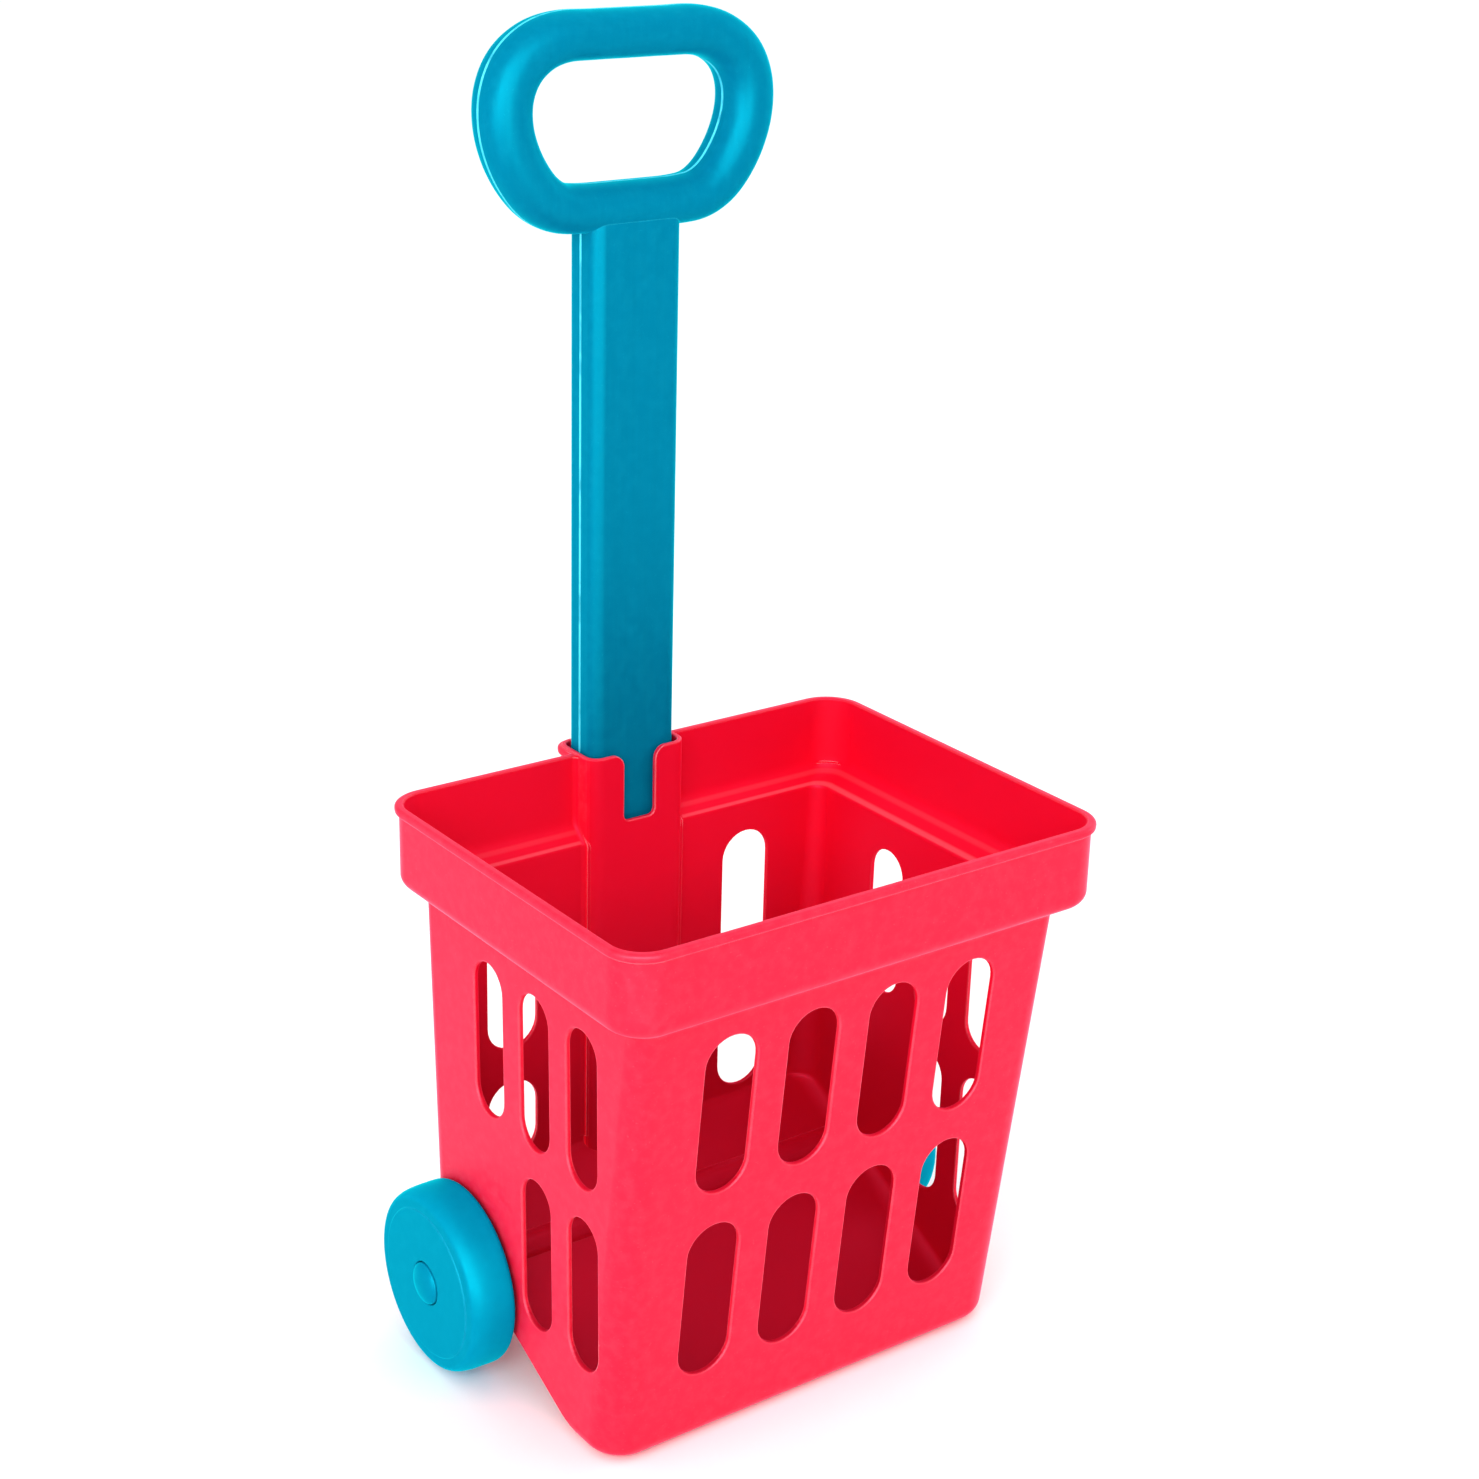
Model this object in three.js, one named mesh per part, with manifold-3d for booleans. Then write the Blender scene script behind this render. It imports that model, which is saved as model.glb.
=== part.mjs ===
// Rolling basket trolley: a moulded slotted basket on two wheels and a front foot,
// with a closed-loop pull handle that slides in a socket on the back wall.
// Millimetres. +Z is up and Z = 0 is the ground. The basket's front faces -Y, the handle
// stands at the back (+Y), and the wheels are at +X (right) and -X (left).
// X = 0, Y = 0 is the middle of the overall outline seen from above. The pieces are built
// about the middle of the rim and moved to ORIGIN_Y at the end.
import * as THREE from 'three';
import { mergeVertices } from 'three/addons/utils/BufferGeometryUtils.js';
import Module from 'manifold-3d';

// ---------------------------------------------------------------- driving dimensions
const ORIGIN_Y = -7.65;           // middle of the rim in the finished part
const WALL = 2.4;                 // moulded wall of the basket

// rim: a band round the top of the basket with a bead along its upper edge
const RIM = { halfX: 120, halfY: 93.1, top: 250, topWidth: 3.7, cornerR: 17.8 };  // over the bead
const BEAD = { out: 1.6, height: 3.6 };       // out: overhang past the band
const BAND = {
  halfX: RIM.halfX - BEAD.out,
  halfY: RIM.halfY - BEAD.out,
  cornerR: RIM.cornerR - BEAD.out,
  bottom: 214.3,
  round: 4.6,                     // rounding at the lower edge
};
const BEAD_START_Z = RIM.top - BEAD.height - 0.5;
const BEAD_FULL_Z = RIM.top - BEAD.height + 0.5;
const BEAD_EDGE_Z = RIM.top - 0.9;

// tapered body: outline at the ground and at the band's bottom
const BODY_LOW = { halfX: 104.0, front: -57.8, back: 85.8, cornerR: 17 };
const BODY_HIGH = { halfX: 106.3, front: -80.2, back: 85.1, cornerR: 9 };
const BODY_TOP = 207.9;
const INNER_BODY_TOP = 210.2;
const MIN_CORNER_R = 2;
const SLOPE_CORNER_R = 9;         // largest back corner where the slope cuts the section
const FOOT_ROUND = 8;             // rounding under the walls
const FOOT_BACK = -30;            // back edge of the flat front foot
const SLOPE = 0.514;              // rise of the underside from the foot to the back wall

// slots: z is the middle of the slot, front and back are the ends of its cutter along Y
const FRONT_SLOT_PITCH = 40.4;
const FRONT_SLOT_COUNT = 4;
const FRONT_SLOTS = [
  { width: 24.9, height: 72.8, z: 161.0, front: -90, back: -60 },
  { width: 25.4, height: 74.3, z: 71.4, front: -82, back: -52 },
];
const SIDE_SLOT = { width: 21.9, height: 70.3 };
const SIDE_SLOTS = [
  { ...SIDE_SLOT, z: 160.4, middles: [31.0, -4.1, -39.2] },
  { ...SIDE_SLOT, z: 75.4, middles: [-4.1, -39.2] },
];
const SIDE_CUT = { inner: 96, outer: 114 };   // cutter's ends along X
const BACK_SLOT_X = 62.4;
const BACK_SLOTS = [
  { width: 25, height: 75.5, z: 158.75, front: 78, back: 96 },
  { width: 25, height: 38.5, z: 85.25, front: 78, back: 96 },
];

// handle socket, standing both sides of the back wall
const SOCKET = {
  halfX: 25.3, front: 77.6, back: 106.8, cornerR: 7.0, top: 250.6, bottom: 18, wall: 2.2, floor: 2.4,
};
const SOCKET_BEAD_FRONT = 90.8;
const NOTCH = { halfWidth: 8.0, bottom: 218.9, bottomR: 3, topR: 6 };
const STOP_RIB = { halfX: 8, depth: 0.75, bottom: 199.6, top: 236 };
const DRAIN = { radius: 4, below: 4, length: 12 };

// axle and its housing
const AXLE = { y: 50.2, z: 41.0, radius: 3.0, halfLength: 123.8, chamfer: 0.8 };
const BORE_R = AXLE.radius + 0.25;
const BORE_HALF = 112;
const HOUSING = { radius: 7.2, halfLength: 103.9 };
const HOUSING_OPENING = { halfX: 62, halfY: 4.2, below: 14, roof: 0.4 };

// wheels, X measured outwards from the middle of the axle
const WHEEL_R = AXLE.z;
const WHEEL_FACE_X = 127.0;
const FACE_R = 33.3;              // flat face, up to the step ring
const RECESS_R = 9.7;
const CAP_R = RECESS_R - 0.4;
const DISC_X = 110.2;             // inboard face of the back disc

// handle, in two half shells
const MID_Y = 92.4;               // parting plane
const SPLIT = 0.15;               // each half stops this far short of the plane
const HANDLE_WALL = 2.2;
const COLUMN = { halfX: 21.9, halfY: 11.0, cornerR: 6.0, bottom: 196, top: 485 };
const LOOP_HALF_Y = 12.5;
// centre line of the loop's +X half, top middle to bottom middle: x, z, in-plane half thickness
const LOOP = [
  [0, 552.8, 9.75], [17, 552.8, 9.75], [32.4, 552.5, 10.0], [43.6, 549.2, 10.5],
  [52.9, 541.9, 11.0], [57.7, 531.6, 11.1], [58.1, 520.0, 11.1], [55.1, 509.0, 11.1],
  [49.9, 499.4, 11.0], [43.0, 491.4, 10.7], [34.0, 486.3, 10.2], [23.0, 485.0, 9.8],
  [12, 484.9, 9.7], [0, 484.9, 9.7],
];
const LOOP_STATIONS = 42;
const LOOP_SECTION_POINTS = 16;
const LOOP_POWER = 2.3;           // superellipse power of the loop's section

// screws
const SCREW = { radius: 1.4, tipY: 84.6, headR: 3.0, headHeight: 2.0 };
const CROSS = { halfLength: 1.7, halfWidth: 0.35, depth: 1.1 };
const SEAT_Y = 98.4;              // screw head seat inside the rear shell
const HEAD_Y = SEAT_Y + 0.3;      // underside of the head
const CLEARANCE_R = 1.7;
const SINK_R = 3.4;
const BOSS_R = 3.7;               // in the front shell
const POST_R = 5.3;               // in the rear shell
// screw places [x, z], and where their bosses and posts end inside the outer walls
const LOOP_SCREWS = [[-51.0, 543.6], [51.0, 543.6], [-48.6, 497.6], [48.6, 497.6]];
const COLUMN_SCREWS = [[0, 456], [0, 384], [0, 304], [0, 226]];
const LOOP_MOUNT = { frontY: MID_Y - LOOP_HALF_Y + 1.0, rearY: MID_Y + LOOP_HALF_Y - 1.0 };
const COLUMN_MOUNT = { frontY: MID_Y - COLUMN.halfY + 1.2, rearY: MID_Y + COLUMN.halfY - 0.8 };
const SCREWS = [
  ...LOOP_SCREWS.map(([x, z]) => ({ x, z, ...LOOP_MOUNT })),
  ...COLUMN_SCREWS.map(([x, z]) => ({ x, z, ...COLUMN_MOUNT })),
];

// ---------------------------------------------------------------- solids and meshes
const wasm = await Module();
wasm.setup();

// welds a geometry, turns its faces outwards and makes a manifold of it
function solid(source) {
  source.deleteAttribute('normal');
  source.deleteAttribute('uv');
  const welded = mergeVertices(source, 1e-4);
  const position = welded.attributes.position;
  const index = welded.index.array;
  const corner = (i) => new THREE.Vector3().fromBufferAttribute(position, i);
  const triangles = [];
  let volume = 0;
  for (let i = 0; i < index.length; i += 3) {
    const [first, second, third] = index.slice(i, i + 3);
    if (first === second || second === third || third === first) continue;
    triangles.push(first, second, third);
    volume += corner(first).dot(corner(second).cross(corner(third)));
  }
  if (volume < 0) {
    for (let i = 0; i < triangles.length; i += 3) {
      [triangles[i + 1], triangles[i + 2]] = [triangles[i + 2], triangles[i + 1]];
    }
  }
  return new wasm.Manifold(new wasm.Mesh({
    numProp: 3,
    vertProperties: new Float32Array(position.array),
    triVerts: new Uint32Array(triangles),
  }));
}

function flatShadedGeometry(manifold) {
  const mesh = manifold.getMesh();
  const indexed = new THREE.BufferGeometry();
  indexed.setAttribute('position', new THREE.Float32BufferAttribute(mesh.vertProperties, 3));
  indexed.setIndex(new THREE.Uint32BufferAttribute(mesh.triVerts, 1));
  const geometry = indexed.toNonIndexed();
  geometry.computeVertexNormals();
  return geometry;
}

function solidFromTriangles(points, triangles) {
  const geometry = new THREE.BufferGeometry();
  geometry.setAttribute('position', new THREE.Float32BufferAttribute(points.flat(), 3));
  geometry.setIndex(triangles);
  return solid(geometry);
}

// triangles between two rings of `count` points, given the index of each ring's first point
function stitch(lower, upper, count) {
  const triangles = [];
  for (let j = 0; j < count; j++) {
    const next = (j + 1) % count;
    triangles.push(lower + j, lower + next, upper + next, lower + j, upper + next, upper + j);
  }
  return triangles;
}

// skin through rings that share a point count, both ends closed flat
function loft(rings) {
  const count = rings[0].length;
  const top = (rings.length - 1) * count;
  const triangles = [];
  for (let start = 0; start < top; start += count) {
    triangles.push(...stitch(start, start + count, count));
  }
  for (let j = 1; j < count - 1; j++) {
    triangles.push(0, j + 1, j);
    triangles.push(top, top + j, top + j + 1);
  }
  return solidFromTriangles(rings.flat(), triangles);
}

// points along an arc, both ends included
function arc(centreU, centreV, radius, start, sweep, steps) {
  return Array.from({ length: steps + 1 }, (_, i) => {
    const angle = start + sweep * (i / steps);
    return [centreU + radius * Math.cos(angle), centreV + radius * Math.sin(angle)];
  });
}

// rounded rectangle in plan, anticlockwise from above
function roundedRect(halfX, front, back, frontR, backR, z, steps = 5) {
  const quarter = Math.PI / 2;
  return [
    ...arc(halfX - backR, back - backR, backR, 0, quarter, steps),
    ...arc(-halfX + backR, back - backR, backR, quarter, quarter, steps),
    ...arc(-halfX + frontR, front + frontR, frontR, 2 * quarter, quarter, steps),
    ...arc(halfX - frontR, front + frontR, frontR, 3 * quarter, quarter, steps),
  ].map(([x, y]) => [x, y, z]);
}

function extrude(outline, depth) {
  const shape = new THREE.Shape(outline.map(([u, v]) => new THREE.Vector2(u, v)));
  return new THREE.ExtrudeGeometry(shape, { depth, bevelEnabled: false });
}

// (y, z) outline carried along X
function prismX(outline, x0, x1) {
  const turn = new THREE.Matrix4().set(0, 0, 1, 0, 1, 0, 0, 0, 0, 1, 0, 0, 0, 0, 0, 1);
  return solid(extrude(outline, x1 - x0).applyMatrix4(turn).translate(x0, 0, 0));
}

// (x, z) outline carried along Y
function prismY(outline, y0, y1) {
  const turn = new THREE.Matrix4().set(1, 0, 0, 0, 0, 0, -1, 0, 0, 1, 0, 0, 0, 0, 0, 1);
  return solid(extrude(outline, y1 - y0).applyMatrix4(turn).translate(0, y1, 0));
}

function box(x0, x1, y0, y1, z0, z1) {
  return solid(new THREE.BoxGeometry(x1 - x0, y1 - y0, z1 - z0)
    .translate((x0 + x1) / 2, (y0 + y1) / 2, (z0 + z1) / 2));
}

// turned parts: profiles are [radius, distance along the axis]
function lathe(profile, segments) {
  const points = profile.map(([radius, along]) => new THREE.Vector2(radius, along));
  return new THREE.LatheGeometry(points, segments);
}

// turned about the axle; side -1 points the profile along -X
function turnedX(profile, segments, side = 1) {
  const geometry = lathe(profile, segments).rotateZ(-Math.PI / 2);
  if (side < 0) geometry.rotateZ(Math.PI);
  return solid(geometry.translate(0, AXLE.y, AXLE.z));
}

function turnedY(profile, x, z) {
  return solid(lathe(profile, 12).translate(x, 0, z));
}

const cylinderProfile = (radius, start, end) => [[0, start], [radius, start], [radius, end], [0, end]];

const cylinderY = (radius, y0, y1, x, z) => turnedY(cylinderProfile(radius, y0, y1), x, z);

// ---------------------------------------------------------------- basket shell
function bodyAt(z) {
  const fraction = Math.min(1, z / BAND.bottom);
  const between = (key) => THREE.MathUtils.lerp(BODY_LOW[key], BODY_HIGH[key], fraction);
  return {
    halfX: between('halfX'), front: between('front'), back: between('back'), cornerR: between('cornerR'),
  };
}

// The two skins of the body. offset: in from the outer walls; lift: height of the slope over
// the outer one; roundSteps: ring heights over the base within the bottom rounding.
const OUTER_SKIN = {
  offset: 0, lift: 0, base: 0, round: FOOT_ROUND, roundSteps: [1.07, 4.0], top: BODY_TOP,
};
const INNER_SKIN = {
  offset: WALL,
  lift: WALL * Math.hypot(1, SLOPE) + 0.25,
  base: WALL + 0.2,
  round: FOOT_ROUND - WALL,
  roundSteps: [0.75, 2.8],
  top: INNER_BODY_TOP,
};

// a section reaches back only as far as the sloping underside does at its height
function bodyRing(z, { offset, lift, base, round }) {
  const body = bodyAt(z);
  const height = z - base;
  let inset = offset;
  if (height < round) inset += round - Math.sqrt(Math.max(0, round ** 2 - (round - height) ** 2));
  const wallY = body.back - offset;
  const back = Math.min(wallY, FOOT_BACK + (z - lift) / SLOPE);
  const frontR = Math.max(MIN_CORNER_R, body.cornerR - inset);
  const backR = back < wallY - 0.01
    ? Math.min(SLOPE_CORNER_R, frontR)
    : Math.max(MIN_CORNER_R, body.cornerR - offset);
  return roundedRect(body.halfX - inset, body.front + inset, back, frontR, backR, z);
}

function bodyRings(skin) {
  const { offset, lift, base, round, roundSteps, top } = skin;
  const slopeTop = (BODY_LOW.back - offset - FOOT_BACK) * SLOPE + lift;  // meets the back wall
  const heights = [
    base, ...roundSteps.map((step) => base + step), base + round,
    30, slopeTop - 0.5, slopeTop + 0.8, 130, top,
  ];
  return heights.map((z) => bodyRing(z, skin));
}

// step from the body out to the band: stand-off from the side, front and back walls
function flareRing(side, front, back, corner, z) {
  const body = bodyAt(z);
  const cornerR = body.cornerR + corner;
  return roundedRect(body.halfX + side, body.front - front, body.back + back, cornerR, cornerR, z);
}

function bandRing(inset, z) {
  const halfY = BAND.halfY - inset;
  const cornerR = BAND.cornerR - inset * 0.6;
  return roundedRect(BAND.halfX - inset, -halfY, halfY, cornerR, cornerR, z);
}

function rimOpeningRing(side, front, back, corner, z) {
  const halfY = RIM.halfY - RIM.topWidth;
  const cornerR = RIM.cornerR - RIM.topWidth - corner;
  return roundedRect(
    RIM.halfX - RIM.topWidth - side, -halfY + front, halfY - back, cornerR, cornerR, z,
  );
}

function basketOutside() {
  return loft([
    ...bodyRings(OUTER_SKIN),
    flareRing(2.6, 2.4, 0.9, 1.3, 209.9),
    flareRing(6.3, 5.8, 2.0, 3.1, 211.9),
    bandRing(BAND.round * 0.89, BAND.bottom - 1.1),
    bandRing(BAND.round * 0.28, BAND.bottom + 1.3),
    bandRing(0, BAND.bottom + BAND.round),
    bandRing(0, BEAD_START_Z),
    bandRing(-BEAD.out, BEAD_FULL_Z),
    bandRing(-BEAD.out, BEAD_EDGE_Z),
    bandRing(-BEAD.out + 0.8, RIM.top),
  ]);
}

function basketInside() {
  return loft([
    ...bodyRings(INNER_SKIN),
    flareRing(4.6, 4.2, 0.6, 1.2, 213.1),
    rimOpeningRing(1.6, 1.5, 1.0, 1, 216.0),
    rimOpeningRing(0.3, 0.3, 0.3, 0, 218.2),
    rimOpeningRing(0, 0, 0, 0, RIM.top - 0.8),
    rimOpeningRing(-0.8, -0.8, -0.8, -0.6, RIM.top + 0.05),
    rimOpeningRing(-0.8, -0.8, -0.8, -0.6, RIM.top + 8),
  ]);
}

// ---------------------------------------------------------------- handle socket
function socketRing(grow, z, cornerR = SOCKET.cornerR + grow) {
  return roundedRect(
    SOCKET.halfX + grow, SOCKET.front - grow, SOCKET.back + grow, cornerR, cornerR, z, 4,
  );
}

function socketOutside() {
  return loft([
    socketRing(-1.2, SOCKET.bottom),
    socketRing(0, SOCKET.bottom + 1.2),
    socketRing(0, SOCKET.top - 0.7),
    socketRing(-0.6, SOCKET.top),
  ]);
}

// the rim bead runs on round the outside of the socket
function socketBead() {
  // stand-off from the socket, growth of its corner radius, z
  const stations = [
    [BEAD.out * 0.4, 0.6, BEAD_START_Z],
    [BEAD.out, BEAD.out, BEAD_FULL_Z],
    [BEAD.out, BEAD.out, BEAD_EDGE_Z],
    [BEAD.out - 0.8, BEAD.out - 0.8, RIM.top - 0.1],
  ];
  return loft(stations.map(([grow, cornerGrow, z]) => roundedRect(
    SOCKET.halfX + grow, SOCKET_BEAD_FRONT, SOCKET.back + grow, 1, SOCKET.cornerR + cornerGrow, z, 4,
  )));
}

// pocket for the column, leaving the pull-out stop rib standing on its rear wall
function socketPocket() {
  const ring = (flare, z) => socketRing(flare - SOCKET.wall, z, SOCKET.cornerR - SOCKET.wall);
  const pocket = loft([
    ring(0, SOCKET.bottom + SOCKET.floor),
    ring(0, SOCKET.top - 0.8),
    ring(0.6, SOCKET.top + 0.02),
    ring(0.6, SOCKET.top + 5),
  ]);
  const { halfX, depth, bottom, top } = STOP_RIB;
  const ribFront = SOCKET.back - SOCKET.wall - depth;
  return pocket.subtract(box(-halfX, halfX, ribFront, SOCKET.back, bottom, top));
}

// drain hole in the socket's floor
function drainHole() {
  return solid(lathe(cylinderProfile(DRAIN.radius, 0, DRAIN.length), 16)
    .rotateX(Math.PI / 2)
    .translate(0, MID_Y, SOCKET.bottom - DRAIN.below));
}

// notch down the front wall of the socket, flared and open at the top
function socketNotch() {
  const { halfWidth, bottom, bottomR, topR } = NOTCH;
  const topHalf = halfWidth + topR;
  const quarter = Math.PI / 2;
  const outline = [
    [topHalf, SOCKET.top + 3],
    [-topHalf, SOCKET.top + 3],
    ...arc(-topHalf, SOCKET.top - topR, topR, quarter, -quarter, 4),
    ...arc(-halfWidth + bottomR, bottom + bottomR, bottomR, 2 * quarter, quarter, 3),
    ...arc(halfWidth - bottomR, bottom + bottomR, bottomR, 3 * quarter, quarter, 3),
    ...arc(topHalf, SOCKET.top - topR, topR, 2 * quarter, -quarter, 4),
  ];
  return prismY(outline, SOCKET.front - 6, SOCKET.front + SOCKET.wall + 0.4);
}

// ---------------------------------------------------------------- axle housing and slots
// bar along X, centred on the axle
function axleBar(radius, segments, halfLength) {
  const circle = arc(AXLE.y, AXLE.z, radius, 0, 2 * Math.PI, segments).slice(0, -1);
  return prismX(circle, -halfLength, halfLength);
}

// opens the housing from below in the middle
function housingOpening() {
  const { halfX, halfY, below, roof } = HOUSING_OPENING;
  return box(
    -halfX, halfX, AXLE.y - halfY, AXLE.y + halfY,
    AXLE.z - HOUSING.radius - below, AXLE.z - roof,
  );
}

// upright slot outline with round ends
function slotOutline(middle, { width, height, z }) {
  const radius = width / 2;
  const straight = height / 2 - radius;
  return [
    ...arc(middle, z + straight, radius, 0, Math.PI, 7),
    ...arc(middle, z - straight, radius, Math.PI, Math.PI, 7),
  ];
}

function slotCutters() {
  const cutY = (x, slot) => prismY(slotOutline(x, slot), slot.front, slot.back);
  const cutters = [];
  for (let i = 0; i < FRONT_SLOT_COUNT; i++) {
    const x = (i - (FRONT_SLOT_COUNT - 1) / 2) * FRONT_SLOT_PITCH;
    for (const slot of FRONT_SLOTS) cutters.push(cutY(x, slot));
  }
  const { inner, outer } = SIDE_CUT;
  for (const side of [-1, 1]) {
    const [x0, x1] = side > 0 ? [inner, outer] : [-outer, -inner];
    for (const slot of SIDE_SLOTS) {
      for (const y of slot.middles) cutters.push(prismX(slotOutline(y, slot), x0, x1));
    }
    for (const slot of BACK_SLOTS) cutters.push(cutY(side * BACK_SLOT_X, slot));
  }
  return cutters;
}

function buildBasket() {
  const moulding = basketOutside()
    .subtract(basketInside())
    .add(axleBar(HOUSING.radius, 20, HOUSING.halfLength))
    .add(socketOutside())
    .add(socketBead());
  const cutters = [
    socketPocket(),
    drainHole(),
    socketNotch(),
    axleBar(BORE_R, 24, BORE_HALF),
    housingOpening(),
    ...slotCutters(),
  ];
  return cutters.reduce((basket, cutter) => basket.subtract(cutter), moulding);
}

// ---------------------------------------------------------------- wheels and axle
// All profiles here are [radius, X outwards from the middle of the axle].

// outboard shell: face with a step ring, rounded shoulder, convex tread, open on the inboard side
const WHEEL_SHELL = [
  [BORE_R, 112.6], [7.2, 112.6], [7.2, 118.0], [12.8, 118.0], [12.8, 124.4],
  [FACE_R - 1.6, 124.4], [36.4, 123.2], [38.3, 120.8], [38.3, 112.9], [38.2, 107.1],
  [38.8, 106.5], [40.0, 106.6], [40.75, 107.6], [WHEEL_R, 109.6], [WHEEL_R, 114.0],
  [40.9, 117.8], [40.7, 120.1], [40.4, 122.1], [39.95, 123.7], [39.3, 125.05],
  [38.5, 125.95], [37.6, 126.4], [36.4, 126.5], [FACE_R + 0.4, 126.5],
  [FACE_R, WHEEL_FACE_X - 0.2], [FACE_R - 0.4, WHEEL_FACE_X],
  [RECESS_R + 0.4, WHEEL_FACE_X], [RECESS_R, WHEEL_FACE_X - 0.4],
  [RECESS_R, 120.4], [BORE_R, 120.4], [BORE_R, 112.6],
];
// inboard disc: closes the shell and ends in a hub beside the washer
const WHEEL_DISC = [
  [BORE_R, 106.2], [8.0, 106.2], [8.6, 106.8], [8.6, DISC_X], [37.6, DISC_X],
  [37.9, DISC_X + 0.3], [37.9, 112.3], [BORE_R, 112.3], [BORE_R, 106.2],
];
const HUB_CAP = [
  [CAP_R - 1.5, 123.2], [CAP_R, 123.2], [CAP_R, 127.1], [8.8, 127.9], [7.2, 128.9],
  [4.8, 129.7], [2.4, 130.0], [0, 130.1], [0, 128.4], [4.4, 128.1], [6.7, 127.2],
  [CAP_R - 1.5, 126.2], [CAP_R - 1.5, 123.2],
];
const NUT_BORE_R = AXLE.radius + 0.15;
const PUSH_NUT = [
  [NUT_BORE_R, 120.8], [7.0, 120.8], [7.0, 121.5], [4.8, 121.9], [4.6, 124.4], [3.4, 125.5],
  [0, 125.8], [0, 125.0], [2.8, 124.8], [NUT_BORE_R, 124.2], [NUT_BORE_R, 120.8],
];
const WASHER = [[BORE_R, 104.8], [9.0, 104.8], [9.0, 105.9], [BORE_R, 105.9], [BORE_R, 104.8]];

function buildAxle() {
  const { radius, halfLength, chamfer } = AXLE;
  return turnedX([
    [0, -halfLength],
    [radius - chamfer, -halfLength],
    [radius, -halfLength + chamfer],
    [radius, halfLength - chamfer],
    [radius - chamfer, halfLength],
    [0, halfLength],
  ], 24);
}

// ---------------------------------------------------------------- handle
// Centre line of the whole loop; each point's y carries the in-plane half thickness.
function loopStations() {
  const mirrored = LOOP.slice(1, -1).reverse().map(([x, z, half]) => [-x, z, half]);
  const points = [...LOOP, ...mirrored].map(([x, z, half]) => new THREE.Vector3(x, half, z));
  const curve = new THREE.CatmullRomCurve3(points, true, 'centripetal');
  return curve.getSpacedPoints(LOOP_STATIONS).slice(0, LOOP_STATIONS);
}

// closed tube of superellipse sections, `inset` inside the loop's outer surface
function loopSolid(inset) {
  const stations = loopStations();
  const soften = (value) => Math.sign(value) * Math.abs(value) ** (2 / LOOP_POWER);
  const points = [];
  const triangles = [];
  stations.forEach((station, i) => {
    const next = (i + 1) % LOOP_STATIONS;
    const previous = stations[(i + LOOP_STATIONS - 1) % LOOP_STATIONS];
    const tangentX = stations[next].x - previous.x;
    const tangentZ = stations[next].z - previous.z;
    const length = Math.hypot(tangentX, tangentZ);
    for (let j = 0; j < LOOP_SECTION_POINTS; j++) {
      const angle = (2 * Math.PI * (j + 0.5)) / LOOP_SECTION_POINTS;
      const across = (station.y - inset) * soften(Math.cos(angle));
      points.push([
        station.x - (tangentZ / length) * across,
        MID_Y + (LOOP_HALF_Y - inset) * soften(Math.sin(angle)),
        station.z + (tangentX / length) * across,
      ]);
    }
    const start = i * LOOP_SECTION_POINTS;
    triangles.push(...stitch(start, next * LOOP_SECTION_POINTS, LOOP_SECTION_POINTS));
  });
  return solidFromTriangles(points, triangles);
}

// backGrow moves only the rear side of the section
function columnRing(inset, z, backGrow = -inset) {
  const front = MID_Y - COLUMN.halfY + inset;
  const back = MID_Y + COLUMN.halfY + backGrow;
  const cornerR = COLUMN.cornerR - inset;
  return roundedRect(COLUMN.halfX - inset, front, back, cornerR, cornerR, z, 4);
}

function handleForm(inset, bottom) {
  return loopSolid(inset).add(loft([columnRing(inset, bottom), columnRing(inset, COLUMN.top)]));
}

// the part of the handle between two Y planes
const handleSlice = (form, y0, y1) => form.intersect(box(-90, 90, y0, y1, 180, 580));

// front shell, with a blind boss for each screw
function buildFrontShell(outer, walls) {
  const splitY = MID_Y - SPLIT;
  let shell = handleSlice(walls, 60, splitY);
  for (const { x, z, frontY } of SCREWS) {
    shell = shell
      .add(cylinderY(BOSS_R, frontY, splitY, x, z).intersect(outer))
      .subtract(cylinderY(CLEARANCE_R, SCREW.tipY - 1, MID_Y + 4, x, z));
  }
  return shell;
}

// rear shell, with a post and a sunk seat for each screw
function buildRearShell(outer, walls) {
  const splitY = MID_Y + SPLIT;
  const hole = [
    [0, MID_Y - 4], [CLEARANCE_R, MID_Y - 4], [CLEARANCE_R, SEAT_Y],
    [SINK_R, SEAT_Y], [SINK_R, 125], [0, 125],
  ];
  let shell = handleSlice(walls, splitY, 120);
  for (const { x, z, rearY } of SCREWS) {
    shell = shell
      .add(cylinderY(POST_R, splitY, rearY, x, z).intersect(outer))
      .subtract(turnedY(hole, x, z));
  }
  return shell;
}

// plug that closes the column's lower end; its rear lip is the pull-out catch
function buildEndCap() {
  const { bottom } = COLUMN;
  const flange = loft([
    columnRing(0.8, bottom - 3.1, 0.1),
    columnRing(0, bottom - 2.3, 0.8),
    columnRing(0, bottom - 0.3, 0.8),
  ]);
  const spigot = loft([
    columnRing(HANDLE_WALL + 0.3, bottom - 1),
    columnRing(HANDLE_WALL + 0.3, bottom + 7),
    columnRing(HANDLE_WALL + 1.3, bottom + 8),
  ]);
  const hollow = loft([
    columnRing(HANDLE_WALL + 2.4, bottom - 6),
    columnRing(HANDLE_WALL + 2.4, bottom + 5.6),
  ]);
  return flange.add(spigot).subtract(hollow);
}

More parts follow.
